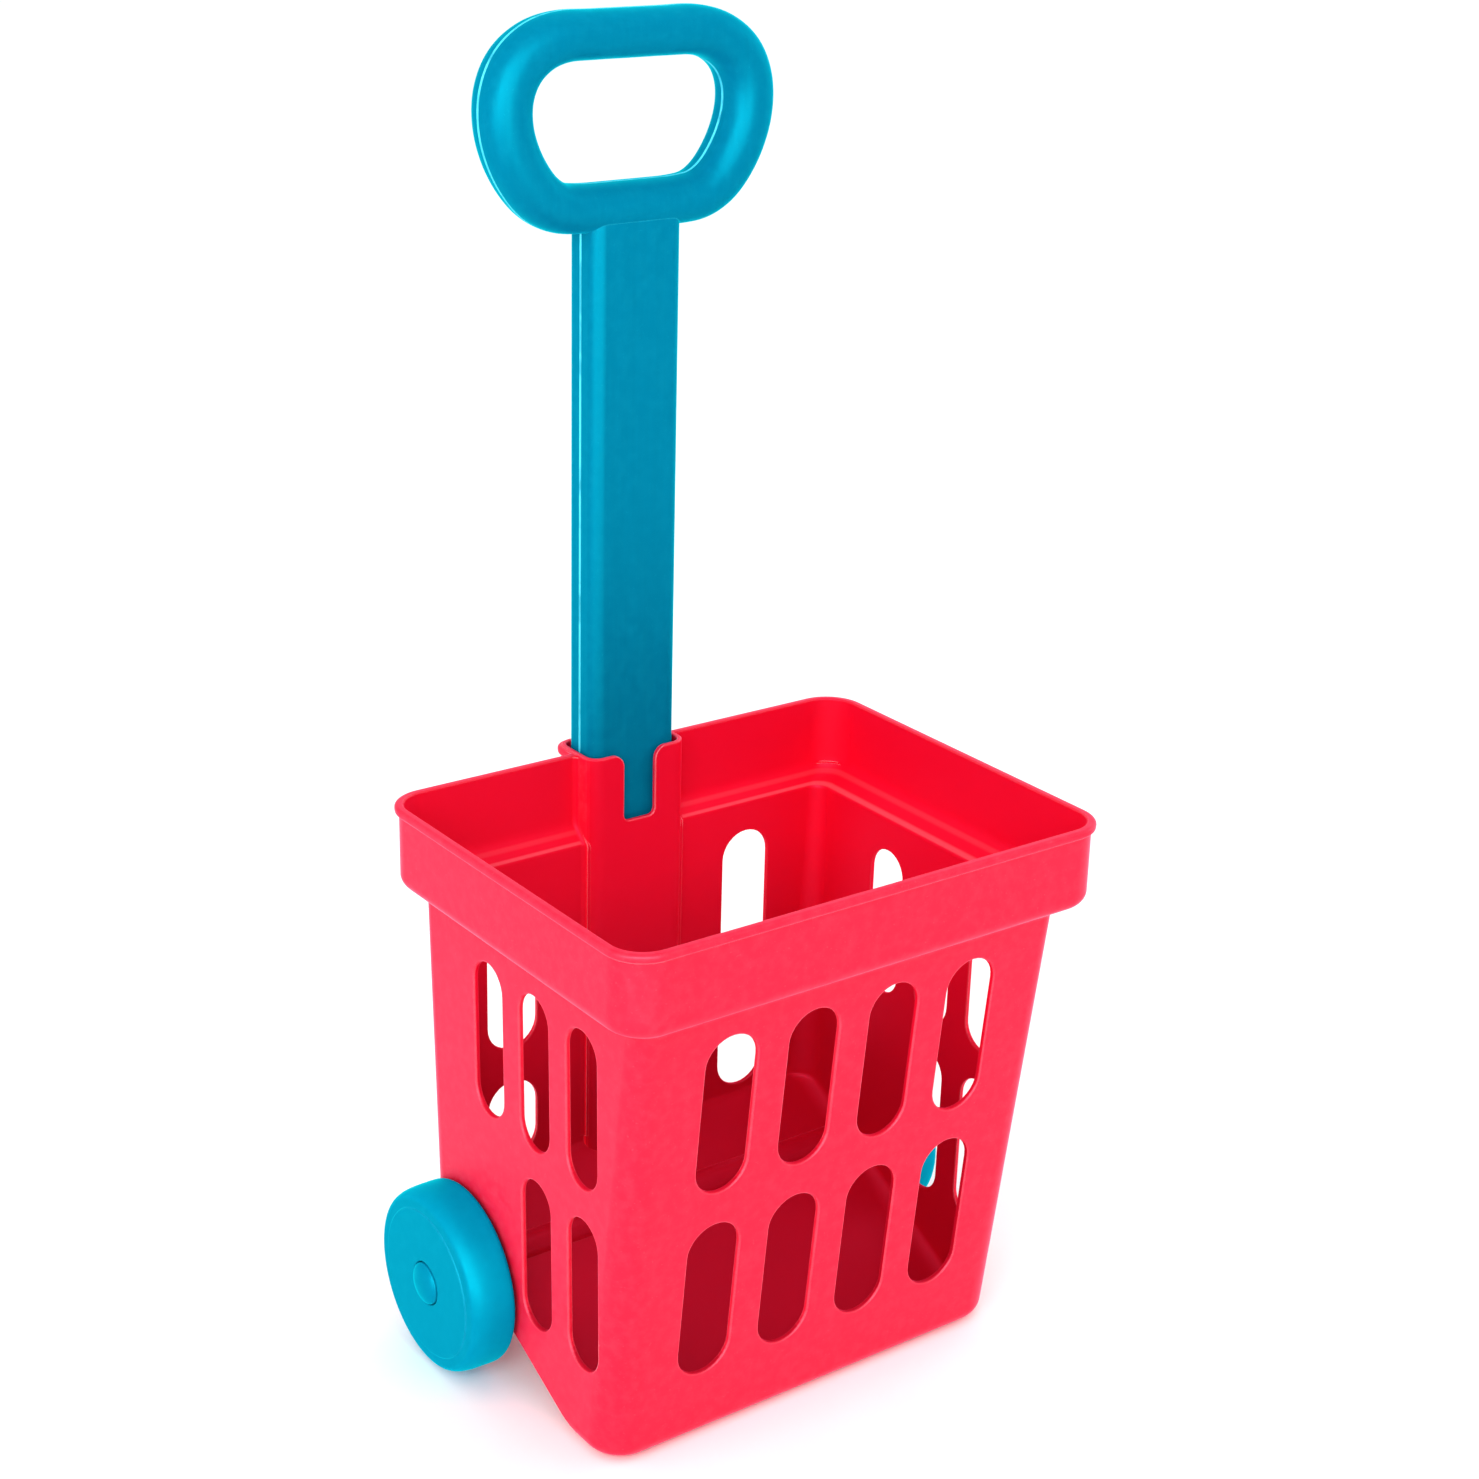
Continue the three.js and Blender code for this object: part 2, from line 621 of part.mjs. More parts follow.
// self-tapping screw with a cross recess
function buildScrew({ x, z }) {
  const { radius, tipY, headR, headHeight } = SCREW;
  const headTop = HEAD_Y + headHeight;
  const body = turnedY([
    [0, tipY], [0.9, tipY + 1.6], [radius, tipY + 2.4], [radius, HEAD_Y],
    [headR, HEAD_Y], [headR, HEAD_Y + 1], [headR - 0.7, headTop], [0, headTop],
  ], x, z);
  const bar = (halfX, halfZ) => box(
    x - halfX, x + halfX, headTop - CROSS.depth, headTop + 2, z - halfZ, z + halfZ,
  );
  const { halfLength, halfWidth } = CROSS;
  return body.subtract(bar(halfLength, halfWidth).add(bar(halfWidth, halfLength)));
}

// ---------------------------------------------------------------- assembly
const TEAL = 0x0096bb;
const STEEL = 0xb8bcc0;
const FINISHES = {
  basket: { color: 0xfe3b54, roughness: 0.45, metalness: 0 },
  teal: { color: TEAL, roughness: 0.42, metalness: 0 },
  tealCap: { color: TEAL, roughness: 0.4, metalness: 0 },
  darkTeal: { color: 0x0086aa, roughness: 0.5, metalness: 0 },
  nylon: { color: 0xe6e6e2, roughness: 0.5, metalness: 0 },
  zinc: { color: 0xc4c6c9, roughness: 0.35, metalness: 1 },
  axleSteel: { color: STEEL, roughness: 0.3, metalness: 1 },
  nutSteel: { color: STEEL, roughness: 0.35, metalness: 1 },
};
const group = new THREE.Group();

function put(name, manifold, finish) {
  const geometry = flatShadedGeometry(manifold).translate(0, ORIGIN_Y, 0);
  const mesh = new THREE.Mesh(geometry, new THREE.MeshStandardMaterial(finish));
  mesh.name = name;
  group.add(mesh);
}

const handleOuter = handleForm(0, COLUMN.bottom);
const handleWalls = handleOuter.subtract(handleForm(HANDLE_WALL, COLUMN.bottom - 3));

put('basket', buildBasket(), FINISHES.basket);
put('handle_front_shell', buildFrontShell(handleOuter, handleWalls), FINISHES.teal);
put('handle_rear_shell', buildRearShell(handleOuter, handleWalls), FINISHES.teal);
put('handle_end_cap', buildEndCap(), FINISHES.darkTeal);
SCREWS.forEach((place, i) => put(`handle_screw_${i + 1}`, buildScrew(place), FINISHES.zinc));
put('axle_rod', buildAxle(), FINISHES.axleSteel);
for (const [name, side] of [['left', -1], ['right', 1]]) {
  put(`wheel_shell_${name}`, turnedX(WHEEL_SHELL, 36, side), FINISHES.teal);
  put(`wheel_back_disc_${name}`, turnedX(WHEEL_DISC, 36, side), FINISHES.darkTeal);
  put(`wheel_hub_cap_${name}`, turnedX(HUB_CAP, 24, side), FINISHES.tealCap);
  put(`axle_push_nut_${name}`, turnedX(PUSH_NUT, 16, side), FINISHES.nutSteel);
  put(`axle_washer_${name}`, turnedX(WASHER, 24, side), FINISHES.nylon);
}

export default group;
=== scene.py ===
"""A pink basket on two teal wheels, with a teal loop handle standing in a socket on its back wall.

X runs across (left is -X), the front faces -Y and Z rises from the floor.
"""

import math
from collections import namedtuple

import bmesh
import bpy
import numpy as np
from mathutils import Matrix, Vector


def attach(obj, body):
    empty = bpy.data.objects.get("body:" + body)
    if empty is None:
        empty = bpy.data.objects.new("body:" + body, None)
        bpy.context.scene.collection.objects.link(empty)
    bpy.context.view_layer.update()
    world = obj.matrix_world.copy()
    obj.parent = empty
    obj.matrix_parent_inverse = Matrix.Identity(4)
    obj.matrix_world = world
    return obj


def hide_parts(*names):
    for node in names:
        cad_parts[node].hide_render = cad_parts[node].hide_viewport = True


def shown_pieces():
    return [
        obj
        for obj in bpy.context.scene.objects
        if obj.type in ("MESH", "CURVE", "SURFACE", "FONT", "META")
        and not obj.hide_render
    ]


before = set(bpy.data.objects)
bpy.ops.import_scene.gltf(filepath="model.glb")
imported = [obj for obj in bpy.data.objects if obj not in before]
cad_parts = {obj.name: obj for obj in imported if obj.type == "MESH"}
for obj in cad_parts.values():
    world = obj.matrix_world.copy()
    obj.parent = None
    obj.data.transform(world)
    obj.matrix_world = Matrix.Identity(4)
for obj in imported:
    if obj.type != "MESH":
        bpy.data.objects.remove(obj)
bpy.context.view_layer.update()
scene = bpy.context.scene

# ------------------------------------------------------------------ driving dimensions (mm)
ORIGIN_Y = -7.65            # middle of the rim in the frame
WALL = 2.4

# rim and the band under it
RIM_HALF_X, RIM_HALF_Y, RIM_R = 120.0, 93.1, 17.8
RIM_TOP = 250.0
RIM_WALL = 3.7
RIM_LIP = 0.8
BEAD_OUT = 1.6
BAND_BOTTOM = 214.3

# basket body, tapering towards the floor
BODY_HALF_X_TOP, BODY_HALF_X_BOTTOM = 106.3, 104.0
BODY_FRONT_TOP, BODY_FRONT_BOTTOM = -80.2, -57.8
BODY_BACK_TOP, BODY_BACK_BOTTOM = 85.1, 85.8
BODY_R_TOP, BODY_R_BOTTOM = 9.0, 17.0
FOOT_ROUND = 8.0
FOOT_BACK, SLOPE = -30.0, 0.514     # y where the rising underside starts, and its rise over run

# handle socket on the back wall
SOCKET_HALF_X, SOCKET_FRONT, SOCKET_BACK, SOCKET_R = 25.3, 77.6, 106.8, 7.0
SOCKET_TOP, SOCKET_BOTTOM, SOCKET_WALL = 250.6, 18.0, 2.2
SOCKET_LIP, SOCKET_FOOT_ROUND = 0.7, 1.2
FILLET_R = 2.4
NOTCH_HALF, NOTCH_BOTTOM, NOTCH_R, NOTCH_TOP_R = 8.0, 218.9, 3.0, 6.0
PAD_HALF, PAD_BOTTOM, PAD_TOP, PAD_PROUD = 8, 199.6, 236.0, 0.75

# axle and the hump that carries it
AXLE_Y, AXLE_Z, AXLE_R, AXLE_HALF = 50.2, 41.0, 3.0, 123.8
BORE_R, BORE_HALF = 3.25, 112
HUMP_R, HUMP_HALF = 7.2, 103.9
OPEN_HALF_X, OPEN_HALF_Y, OPEN_R = 62.0, 4.2, 1.6

# handle: a straight column carrying a closed loop, split into a front and a rear half
MID_Y = 92.4
SPLIT = 0.15                # gap from the parting plane to each half
CHAMFER = 0.34              # eased edge on each half along the parting line
COLUMN_HALF_X, COLUMN_HALF_Y, COLUMN_R = 21.9, 11.0, 6.0
COLUMN_BOTTOM, COLUMN_TOP = 196.0, 485.0
LOOP_HALF_Y, HANDLE_WALL = 12.5, 2.2
LOOP_POWER = 2.3            # exponent of the loop's superellipse section
LOOP_STATIONS = 224
# right side of the loop's centre line, top to bottom: x, z, half thickness
LOOP = [
    (0, 552.8, 9.75), (17, 552.8, 9.75), (32.4, 552.5, 10.0), (43.6, 549.2, 10.5),
    (52.9, 541.9, 11.0), (57.7, 531.6, 11.1), (58.1, 520.0, 11.1), (55.1, 509.0, 11.1),
    (49.9, 499.4, 11.0), (43.0, 491.4, 10.7), (34.0, 486.3, 10.2), (23.0, 485.0, 9.8),
    (12, 484.9, 9.7), (0, 484.9, 9.7),
]

# handle screws, driven in from the rear
LOOP_SCREWS = [(-51.0, 543.6), (51.0, 543.6), (-48.6, 497.6), (48.6, 497.6)]
SCREWS = LOOP_SCREWS + [(0, z) for z in (456, 384, 304, 226)]
SCREW_TURNS = (12, 71, 38, 55, 5, 83, 27, 64)   # degrees about each screw's axis
SCREW_CLEAR, SINK_R = 1.7, 3.4
HEAD_R, HEAD_H = 3.0, 2.0
SEAT_Y, SCREW_TIP_Y = 98.4, 84.6
BOSS_R_FRONT, BOSS_R_REAR = 3.7, 5.3


# ------------------------------------------------------------------ mesh helpers
def make(verts, faces, name="part"):
    mesh = bpy.data.meshes.new(name)
    mesh.from_pydata([tuple(map(float, v)) for v in verts], [], [tuple(map(int, f)) for f in faces])
    mesh.update()
    ob = bpy.data.objects.new(name, mesh)
    scene.collection.objects.link(ob)
    bm = bmesh.new()
    bm.from_mesh(mesh)
    bmesh.ops.recalc_face_normals(bm, faces=bm.faces)
    if bm.calc_volume(signed=True) < 0:
        bmesh.ops.reverse_faces(bm, faces=bm.faces)
    bm.to_mesh(mesh)
    bm.free()
    return ob


def loft(rings):
    """solid through closed rings of equal length, capped at both ends"""
    n = len(rings[0])
    verts = [point for ring in rings for point in ring]
    faces = []
    for k in range(len(rings) - 1):
        for j in range(n):
            a, b = k * n + j, k * n + (j + 1) % n
            faces.append((a, b, b + n, a + n))
    faces.append(tuple(range(n - 1, -1, -1)))
    last = (len(rings) - 1) * n
    faces.append(tuple(range(last, last + n)))
    return make(verts, faces)


def drop(ob):
    mesh = ob.data
    bpy.data.objects.remove(ob, do_unlink=True)
    if mesh.users == 0:
        bpy.data.meshes.remove(mesh)


def join(objs):
    base = objs[0]
    bm = bmesh.new()
    for ob in objs:
        bm.from_mesh(ob.data)
    bm.to_mesh(base.data)
    bm.free()
    for ob in objs[1:]:
        drop(ob)
    return base


def boolean(ob, other, operation):
    modifier = ob.modifiers.new("boolean", "BOOLEAN")
    modifier.object = other
    modifier.operation = operation
    modifier.solver = "MANIFOLD"
    bpy.context.view_layer.update()
    depsgraph = bpy.context.evaluated_depsgraph_get()
    mesh = bpy.data.meshes.new_from_object(ob.evaluated_get(depsgraph))
    if len(mesh.polygons) == 0:
        raise RuntimeError(f"boolean {operation} left nothing")
    ob.modifiers.clear()
    old = ob.data
    ob.data = mesh
    bpy.data.meshes.remove(old)
    drop(other)


def add(ob, other):
    boolean(ob, other, "UNION")


def cut(ob, other):
    boolean(ob, other, "DIFFERENCE")


def common(ob, other):
    boolean(ob, other, "INTERSECT")


def finish(ob, body, node, name=None, angle=32):
    """weld, move into the frame, shade, and put the piece on its body in place of the CAD node"""
    mesh = ob.data
    bm = bmesh.new()
    bm.from_mesh(mesh)
    bmesh.ops.remove_doubles(bm, verts=bm.verts, dist=0.002)
    bmesh.ops.dissolve_degenerate(bm, edges=bm.edges, dist=0.001)
    to_frame = Matrix.Scale(0.001, 4) @ Matrix.Translation((0, ORIGIN_Y, 0))
    bmesh.ops.transform(bm, matrix=to_frame, verts=bm.verts)
    bm.to_mesh(mesh)
    bm.free()
    mesh.shade_smooth()
    mesh.set_sharp_from_angle(angle=math.radians(angle))
    ob.name = mesh.name = name or f"{node}_mesh"
    normals = ob.modifiers.new("normals", "WEIGHTED_NORMAL")
    normals.keep_sharp = True
    normals.weight = 50
    normals.mode = "FACE_AREA"
    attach(ob, body)
    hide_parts(node)


# ------------------------------------------------------------------ curves and solids
def lerp(a, b, t):
    return a + (b - a) * t


def smooth(t):
    t = min(1.0, max(0.0, t))
    return t * t * (3 - 2 * t)


def soft_min(a, b, blend):
    h = min(1.0, max(0.0, 0.5 + 0.5 * (b - a) / blend))
    return b * (1 - h) + a * h - blend * h * (1 - h)


def quarter(steps):
    """(cos, sin) at even steps from 0 to 90 degrees"""
    angles = [math.pi / 2 * k / steps for k in range(steps + 1)]
    return [(math.cos(a), math.sin(a)) for a in angles]


def arc(centre_u, centre_v, radius, start, turn, steps):
    """points of a circular arc; start and turn in degrees"""
    angles = [math.radians(start + turn * i / steps) for i in range(steps + 1)]
    return [(centre_u + radius * math.cos(a), centre_v + radius * math.sin(a)) for a in angles]


def rounded_rect(half_x, front, back, front_r, back_r, z, steps):
    points = arc(half_x - back_r, back - back_r, back_r, 0, 90, steps)
    points += arc(-half_x + back_r, back - back_r, back_r, 90, 90, steps)
    points += arc(-half_x + front_r, front + front_r, front_r, 180, 90, steps)
    points += arc(half_x - front_r, front + front_r, front_r, 270, 90, steps)
    return [(x, y, z) for x, y in points]


def stadium(centre, bottom, top, width, grow):
    """upright slot outline with round ends"""
    r = width / 2 + grow
    return (arc(centre, top + grow - r, r, 0, 180, 16)
            + arc(centre, bottom - grow + r, r, 180, 180, 16))


def lips(depth, outer_r, inner_r, out=4.0):
    """(depth into the wall, outline growth) from before the wall to behind it, lips rounded"""
    rows = [(-out, outer_r), (-0.01, outer_r)]
    rows += [(outer_r * (1 - c), outer_r * (1 - s)) for c, s in quarter(5)[1:]]
    rows += [(depth - inner_r * (1 - s), inner_r * (1 - c)) for c, s in quarter(5)[:-1]]
    return rows + [(depth + 0.01, inner_r), (depth + out, inner_r)]


def prism_x(outline, x0, x1):
    return loft([[(x, y, z) for y, z in outline] for x in (x0, x1)])


def axle_cylinder(radius, half_length):
    turns = [2 * math.pi * i / 48 for i in range(48)]
    outline = [(AXLE_Y + radius * math.cos(a), AXLE_Z + radius * math.sin(a)) for a in turns]
    return prism_x(outline, -half_length, half_length)


def lathe(profile, steps, place):
    """solid of revolution from (radius, distance along the axis) points, closed on itself or
    on the axis; place(radius, angle, distance) gives the point in space"""
    profile = list(profile)
    closed = all(abs(a - b) < 1e-9 for a, b in zip(profile[0], profile[-1]))
    if closed:
        profile = profile[:-1]
    verts, rows = [], []
    for radius, distance in profile:
        if radius < 1e-6:
            rows.append([len(verts)] * steps)
            verts.append(place(0, 0, distance))
        else:
            rows.append(list(range(len(verts), len(verts) + steps)))
            verts += [place(radius, 2 * math.pi * j / steps, distance) for j in range(steps)]
    faces = []
    n = len(rows)
    for k in range(n if closed else n - 1):
        near, far = rows[k], rows[(k + 1) % n]
        for j in range(steps):
            following = (j + 1) % steps
            # dict keys drop the repeats where a row is a single point on the axis
            face = tuple(dict.fromkeys((near[j], near[following], far[following], far[j])))
            if len(face) > 2:
                faces.append(face)
    return make(verts, faces)


def along_x(side, centre_y=AXLE_Y, centre_z=AXLE_Z):
    return lambda r, a, d: (side * d, centre_y + r * math.cos(a), centre_z + r * math.sin(a))


def along_y(x, z):
    return lambda r, a, d: (x + r * math.cos(a), d, z + r * math.sin(a))


def rounded(points, steps):
    """profile of (radius, distance[, fillet]) points with the filleted corners turned to arcs"""
    corners = [np.array(p[:2], float) for p in points]
    out = []
    for i, corner in enumerate(corners):
        if len(points[i]) < 3 or i in (0, len(points) - 1):
            out.append(tuple(corner))
            continue
        before, after = corners[i - 1] - corner, corners[i + 1] - corner
        len_before, len_after = np.linalg.norm(before), np.linalg.norm(after)
        before, after = before / len_before, after / len_after
        half = math.acos(max(-1, min(1, float(before @ after)))) / 2
        reach = min(points[i][2] / math.tan(half), len_before * 0.49, len_after * 0.49)
        radius = reach * math.tan(half)
        bisector = before + after
        bisector = bisector / np.linalg.norm(bisector)
        centre = corner + bisector * (radius / math.sin(half))
        start, end = corner + before * reach - centre, corner + after * reach - centre
        for k in range(steps + 1):
            t = k / steps
            spoke = start * (1 - t) + end * t
            out.append(tuple(centre + spoke / np.linalg.norm(spoke) * radius))
    return out


def blend(start, end, t, before, after):
    return (end - t) / (end - start) * before + (t - start) / (end - start) * after


def spline(points, per):
    """open centripetal Catmull-Rom curve through 2-D points, per steps to a span"""
    knots = [np.array(p, float) for p in points]
    knots = [2 * knots[0] - knots[1]] + knots + [2 * knots[-1] - knots[-2]]
    out = []
    for i in range(1, len(knots) - 2):
        near = knots[i - 1:i + 3]
        times = [0]
        for start, end in zip(near, near[1:]):
            times.append(times[-1] + max(1e-6, np.linalg.norm(end - start)) ** 0.5)
        for k in range(per):
            t = times[1] + (times[2] - times[1]) * k / per
            lines = [blend(times[j], times[j + 1], t, near[j], near[j + 1]) for j in range(3)]
            bends = [blend(times[j], times[j + 2], t, lines[j], lines[j + 1]) for j in range(2)]
            out.append(tuple(blend(times[1], times[2], t, *bends)))
    out.append(tuple(knots[-2]))
    return out


# ------------------------------------------------------------------ basket skins
Section = namedtuple("Section", "half_x front back front_r back_r z")

# step from the body's outside to the band: growth of side, front, back and corner radius, then z
BAND_STEP = [
    (0.0, 0.0, 0.0, 0.0, 207.0), (0.25, 0.23, 0.08, 0.12, 207.9),
    (0.85, 0.78, 0.28, 0.4, 208.75), (1.7, 1.57, 0.58, 0.85, 209.35),
    (2.8, 2.58, 0.95, 1.4, 209.95), (4.6, 4.25, 1.5, 2.3, 210.95),
    (6.3, 5.8, 2.0, 3.1, 211.85), (7.2, 6.6, 2.12, 3.4, 212.45),
]
# inside ledge: rounded top of the body's wall, shallow shelf, hollow corner up into the band
SHELF = [
    (0.0, 0.0, 0.0, 0.0, 208.8), (0.06, 0.05, 0.03, 0.0, 209.6), (0.25, 0.23, 0.13, 0.0, 210.2),
    (0.6, 0.55, 0.3, 0.1, 210.65), (1.1, 1.0, 0.5, 0.3, 210.95), (1.8, 1.65, 0.8, 0.5, 211.25),
    (3.2, 2.95, 1.4, 0.9, 211.8), (5.0, 4.6, 2.1, 1.5, 212.5), (7.0, 6.5, 2.95, 2.1, 213.3),
    (8.2, 7.6, 3.5, 2.6, 214.0), (9.4, 8.75, 4.3, 3.1, 214.85), (10.3, 9.65, 5.1, 3.5, 215.8),
    (11.0, 10.35, 5.75, 3.7, 216.8), (11.55, 10.85, 6.2, 3.9, 217.9),
]
# rim bead: how far it stands out, z
BEAD = [
    (0.08, 245.95), (0.35, 246.25), (0.85, 246.42), (1.25, 246.7), (1.5, 247.15),
    (1.6, 247.75), (1.6, 248.6), (1.52, 249.1), (1.28, 249.5), (0.9, 249.8),
]
# rounded lower edge of the band: inset, start height, rise
BAND_EDGE_INSET, BAND_EDGE_Z, BAND_EDGE_RISE = 5.612, 212.95, 5.95


def body_at(z):
    """half width, front, back and corner radius of the body's outside"""
    t = min(1.0, z / BAND_BOTTOM)
    return (lerp(BODY_HALF_X_BOTTOM, BODY_HALF_X_TOP, t), lerp(BODY_FRONT_BOTTOM, BODY_FRONT_TOP, t),
            lerp(BODY_BACK_BOTTOM, BODY_BACK_TOP, t), lerp(BODY_R_BOTTOM, BODY_R_TOP, t))


def body_section(z, offset, lift, foot_round, base):
    half_x, front, back, radius = body_at(z)
    inset = offset
    height = z - base
    if height < foot_round:
        inset += foot_round - math.sqrt(max(0.0, foot_round ** 2 - (foot_round - height) ** 2))
    wall_y = back - offset
    slope_y = FOOT_BACK + (z - lift) / SLOPE
    slope_end = (wall_y - FOOT_BACK) * SLOPE + lift
    front_r = max(2.0, radius - inset)
    above_slope = smooth((z - slope_end + 2.5) / 5.0)
    back_r = lerp(min(9.0, front_r), max(2.0, radius - offset), above_slope)
    back_y = soft_min(wall_y, slope_y, blend=3.2)
    return Section(half_x - inset, front + inset, back_y, front_r, back_r, z)


def body_sections(offset, lift, foot_round, base, foot_steps, straight_from):
    """sections from the foot to just under the band, close together where the slope ends"""
    slope_top = (BODY_BACK_BOTTOM - offset - FOOT_BACK) * SLOPE + lift
    levels = [base + foot_round * (1 - c) for c, _ in quarter(foot_steps)]
    levels += [20, 32, 44, 52]
    levels += [slope_top - 4 + 8 * k / 14 for k in range(15)]
    levels += [straight_from, 100, 140, 180, 206.0]
    return [body_section(z, offset, lift, foot_round, base) for z in levels]


def stepped_sections(table, offset):
    """the straight body section, moved in by offset, then out by the table's rows"""
    out = []
    for side_out, front_out, back_out, radius_out, z in table:
        half_x, front, back, radius = body_at(z)
        corner = radius - offset + radius_out
        out.append(Section(half_x - offset + side_out, front + offset - front_out,
                           back - offset + back_out, corner, corner, z))
    return out


def band_section(inset, z):
    half_x, half_y = RIM_HALF_X - BEAD_OUT - inset, RIM_HALF_Y - BEAD_OUT - inset
    radius = RIM_R - BEAD_OUT - inset * 0.6
    return Section(half_x, -half_y, half_y, radius, radius, z)


def opening_section(grow, radius_grow, z):
    half_x, half_y = RIM_HALF_X - RIM_WALL + grow, RIM_HALF_Y - RIM_WALL + grow
    radius = RIM_R - RIM_WALL + radius_grow
    return Section(half_x, -half_y, half_y, radius, radius, z)


def outer_sections():
    sections = body_sections(offset=0, lift=0, foot_round=FOOT_ROUND, base=0, foot_steps=9,
                             straight_from=72)
    sections += stepped_sections(BAND_STEP, offset=0)
    for k in range(10):
        t = math.radians(16 + 74 * k / 9)
        sections.append(band_section(BAND_EDGE_INSET * (1 - math.sin(t)),
                                     BAND_EDGE_Z + BAND_EDGE_RISE * (1 - math.cos(t))))
    profile = [(0, 232.0), (0, 245.5)] + BEAD + [(0.45, 249.96), (0.1, RIM_TOP)]
    return sections + [band_section(-out, z) for out, z in profile]


def inner_sections():
    # the floor's thickness is measured square to the slope
    sections = body_sections(offset=WALL, lift=WALL * math.hypot(1, SLOPE) + 0.25,
                             foot_round=FOOT_ROUND - WALL, base=WALL + 0.2, foot_steps=8,
                             straight_from=74)
    sections += stepped_sections(SHELF, offset=WALL)
    for inset, z in ((0.22, 219.0), (0.04, 220.4), (0.0, 222.0), (0.0, 235)):
        sections.append(opening_section(-inset, -inset * 0.5, z))
    lip = [(RIM_LIP * (1 - c), RIM_TOP - RIM_LIP + RIM_LIP * s) for c, s in quarter(5)[:-1]]
    lip += [(RIM_LIP, RIM_TOP + 0.01), (RIM_LIP, RIM_TOP + 8)]
    return sections + [opening_section(grow, grow, z) for grow, z in lip]


def skin(sections):
    return loft([rounded_rect(*section, steps=14) for section in sections])


def back_at(sections, z):
    return float(np.interp(z, [s.z for s in sections], [s.back for s in sections]))


# ------------------------------------------------------------------ socket
def socket_ring(grow, z):
    radius = SOCKET_R + grow
    return rounded_rect(SOCKET_HALF_X + grow, SOCKET_FRONT - grow, SOCKET_BACK + grow,
                        radius, radius, z, steps=8)


def socket_block():
    foot, lip = SOCKET_FOOT_ROUND, SOCKET_LIP
    rings = [socket_ring(-foot * (1 - s), SOCKET_BOTTOM + foot * (1 - c)) for c, s in quarter(5)]
    rings += [socket_ring(0, z) for z in (60, 120, 180, 220)]
    rings += [socket_ring(-lip * (1 - c), SOCKET_TOP - lip + lip * s) for c, s in quarter(5)]
    return loft(rings)


def socket_bead():
    """the rim bead carried on round the outside of the socket"""
    return loft([rounded_rect(SOCKET_HALF_X + out, 90.8, SOCKET_BACK + out, 1, SOCKET_R + out,
                              z, steps=8) for out, z in BEAD + [(0.45, 249.93)]])


def corner_fillet(side, facing, sections, levels):
    """soft corner where the socket's side meets the back wall; facing is +1 on the wall's
    outside and -1 on its inside"""
    rings = []
    for z in levels:
        wall = back_at(sections, z) - facing * 0.02
        outline = [(SOCKET_HALF_X - 1.5, wall - facing * 0.8),
                   (SOCKET_HALF_X - 1.5, wall + facing * FILLET_R)]
        outline += [(SOCKET_HALF_X - 0.02 + FILLET_R - FILLET_R * c,
                     wall + facing * FILLET_R - facing * FILLET_R * s) for c, s in quarter(7)]
        outline.append((SOCKET_HALF_X + FILLET_R, wall - facing * 0.8))
        rings.append([(side * x, y, z) for x, y in outline])
    return loft(rings)


def pocket_cutter():
    """hollow of the socket, leaving a thin pad with a sloped top on its rear inside wall"""
    lip = SOCKET_LIP
    # growth, z
    levels = [(-0.8, SOCKET_BOTTOM + 2.4), (-0.25, SOCKET_BOTTOM + 2.65), (0, SOCKET_BOTTOM + 3.2)]
    levels += [(0, z) for z in (80, 150, 220)]
    levels += [(lip * (1 - c), SOCKET_TOP - lip + lip * s) for c, s in quarter(5)[:-1]]
    levels += [(lip, SOCKET_TOP + 0.01), (lip, SOCKET_TOP + 5)]
    pocket = loft([socket_ring(grow - SOCKET_WALL, z) for grow, z in levels])
    wall, face = SOCKET_BACK - SOCKET_WALL, SOCKET_BACK - SOCKET_WALL - PAD_PROUD
    pad = [(wall + 3, PAD_BOTTOM), (face + 0.03, PAD_BOTTOM), (face, PAD_BOTTOM + 0.03),
           (face, PAD_TOP - 2.4), (wall - 0.02, PAD_TOP), (wall + 3, PAD_TOP)]
    cut(pocket, prism_x(pad, -PAD_HALF, PAD_HALF))
    return pocket


def socket_floor_hole():
    # radius, height above the socket's underside
    profile = [(0, -3), (4.5, -3), (4.5, -0.01), (4.15, 0.15), (4.0, 0.5), (4.0, 2.0),
               (4.2, 2.35), (4.5, 2.41), (4.5, 4), (0, 4)]
    return lathe(profile, 40, lambda r, a, d: (r * math.cos(a), MID_Y + r * math.sin(a),
                                               SOCKET_BOTTOM + d))


def notch_outline(grow):
    half, bottom = NOTCH_HALF + grow, NOTCH_BOTTOM - grow
    foot_r, top_r = NOTCH_R + grow, NOTCH_TOP_R - grow
    points = [(half + top_r, SOCKET_TOP + 4), (-half - top_r, SOCKET_TOP + 4)]
    points += arc(-half - top_r, SOCKET_TOP - top_r, top_r, 90, -90, 8)
    points += arc(-half + foot_r, bottom + foot_r, foot_r, 180, 90, 8)
    points += arc(half - foot_r, bottom + foot_r, foot_r, 270, 90, 8)
    return points + arc(half + top_r, SOCKET_TOP - top_r, top_r, 180, -90, 8)


def notch_cutter():
    """U notch in the top of the socket's front wall"""
    return loft([[(x, SOCKET_FRONT + depth, z) for x, z in notch_outline(grow)]
                 for depth, grow in lips(SOCKET_WALL, outer_r=0.6, inner_r=0.5, out=1.2)])


# ------------------------------------------------------------------ wall slots
FRONT_PITCH = 40.4
FRONT_SLOTS = [(161.0, 36.4, 24.9), (71.4, 37.15, 25.4)]             # middle z, half height, width
SIDE_SLOTS = [((31.0, -4.1, -39.2), 160.4), ((-4.1, -39.2), 75.4)]   # places in y, middle z
SIDE_HALF, SIDE_WIDTH = 35.15, 21.9
BACK_SLOTS = [(121, 196.5), (66, 104.5)]                             # bottom, top
BACK_X, BACK_WIDTH = 62.4, 25


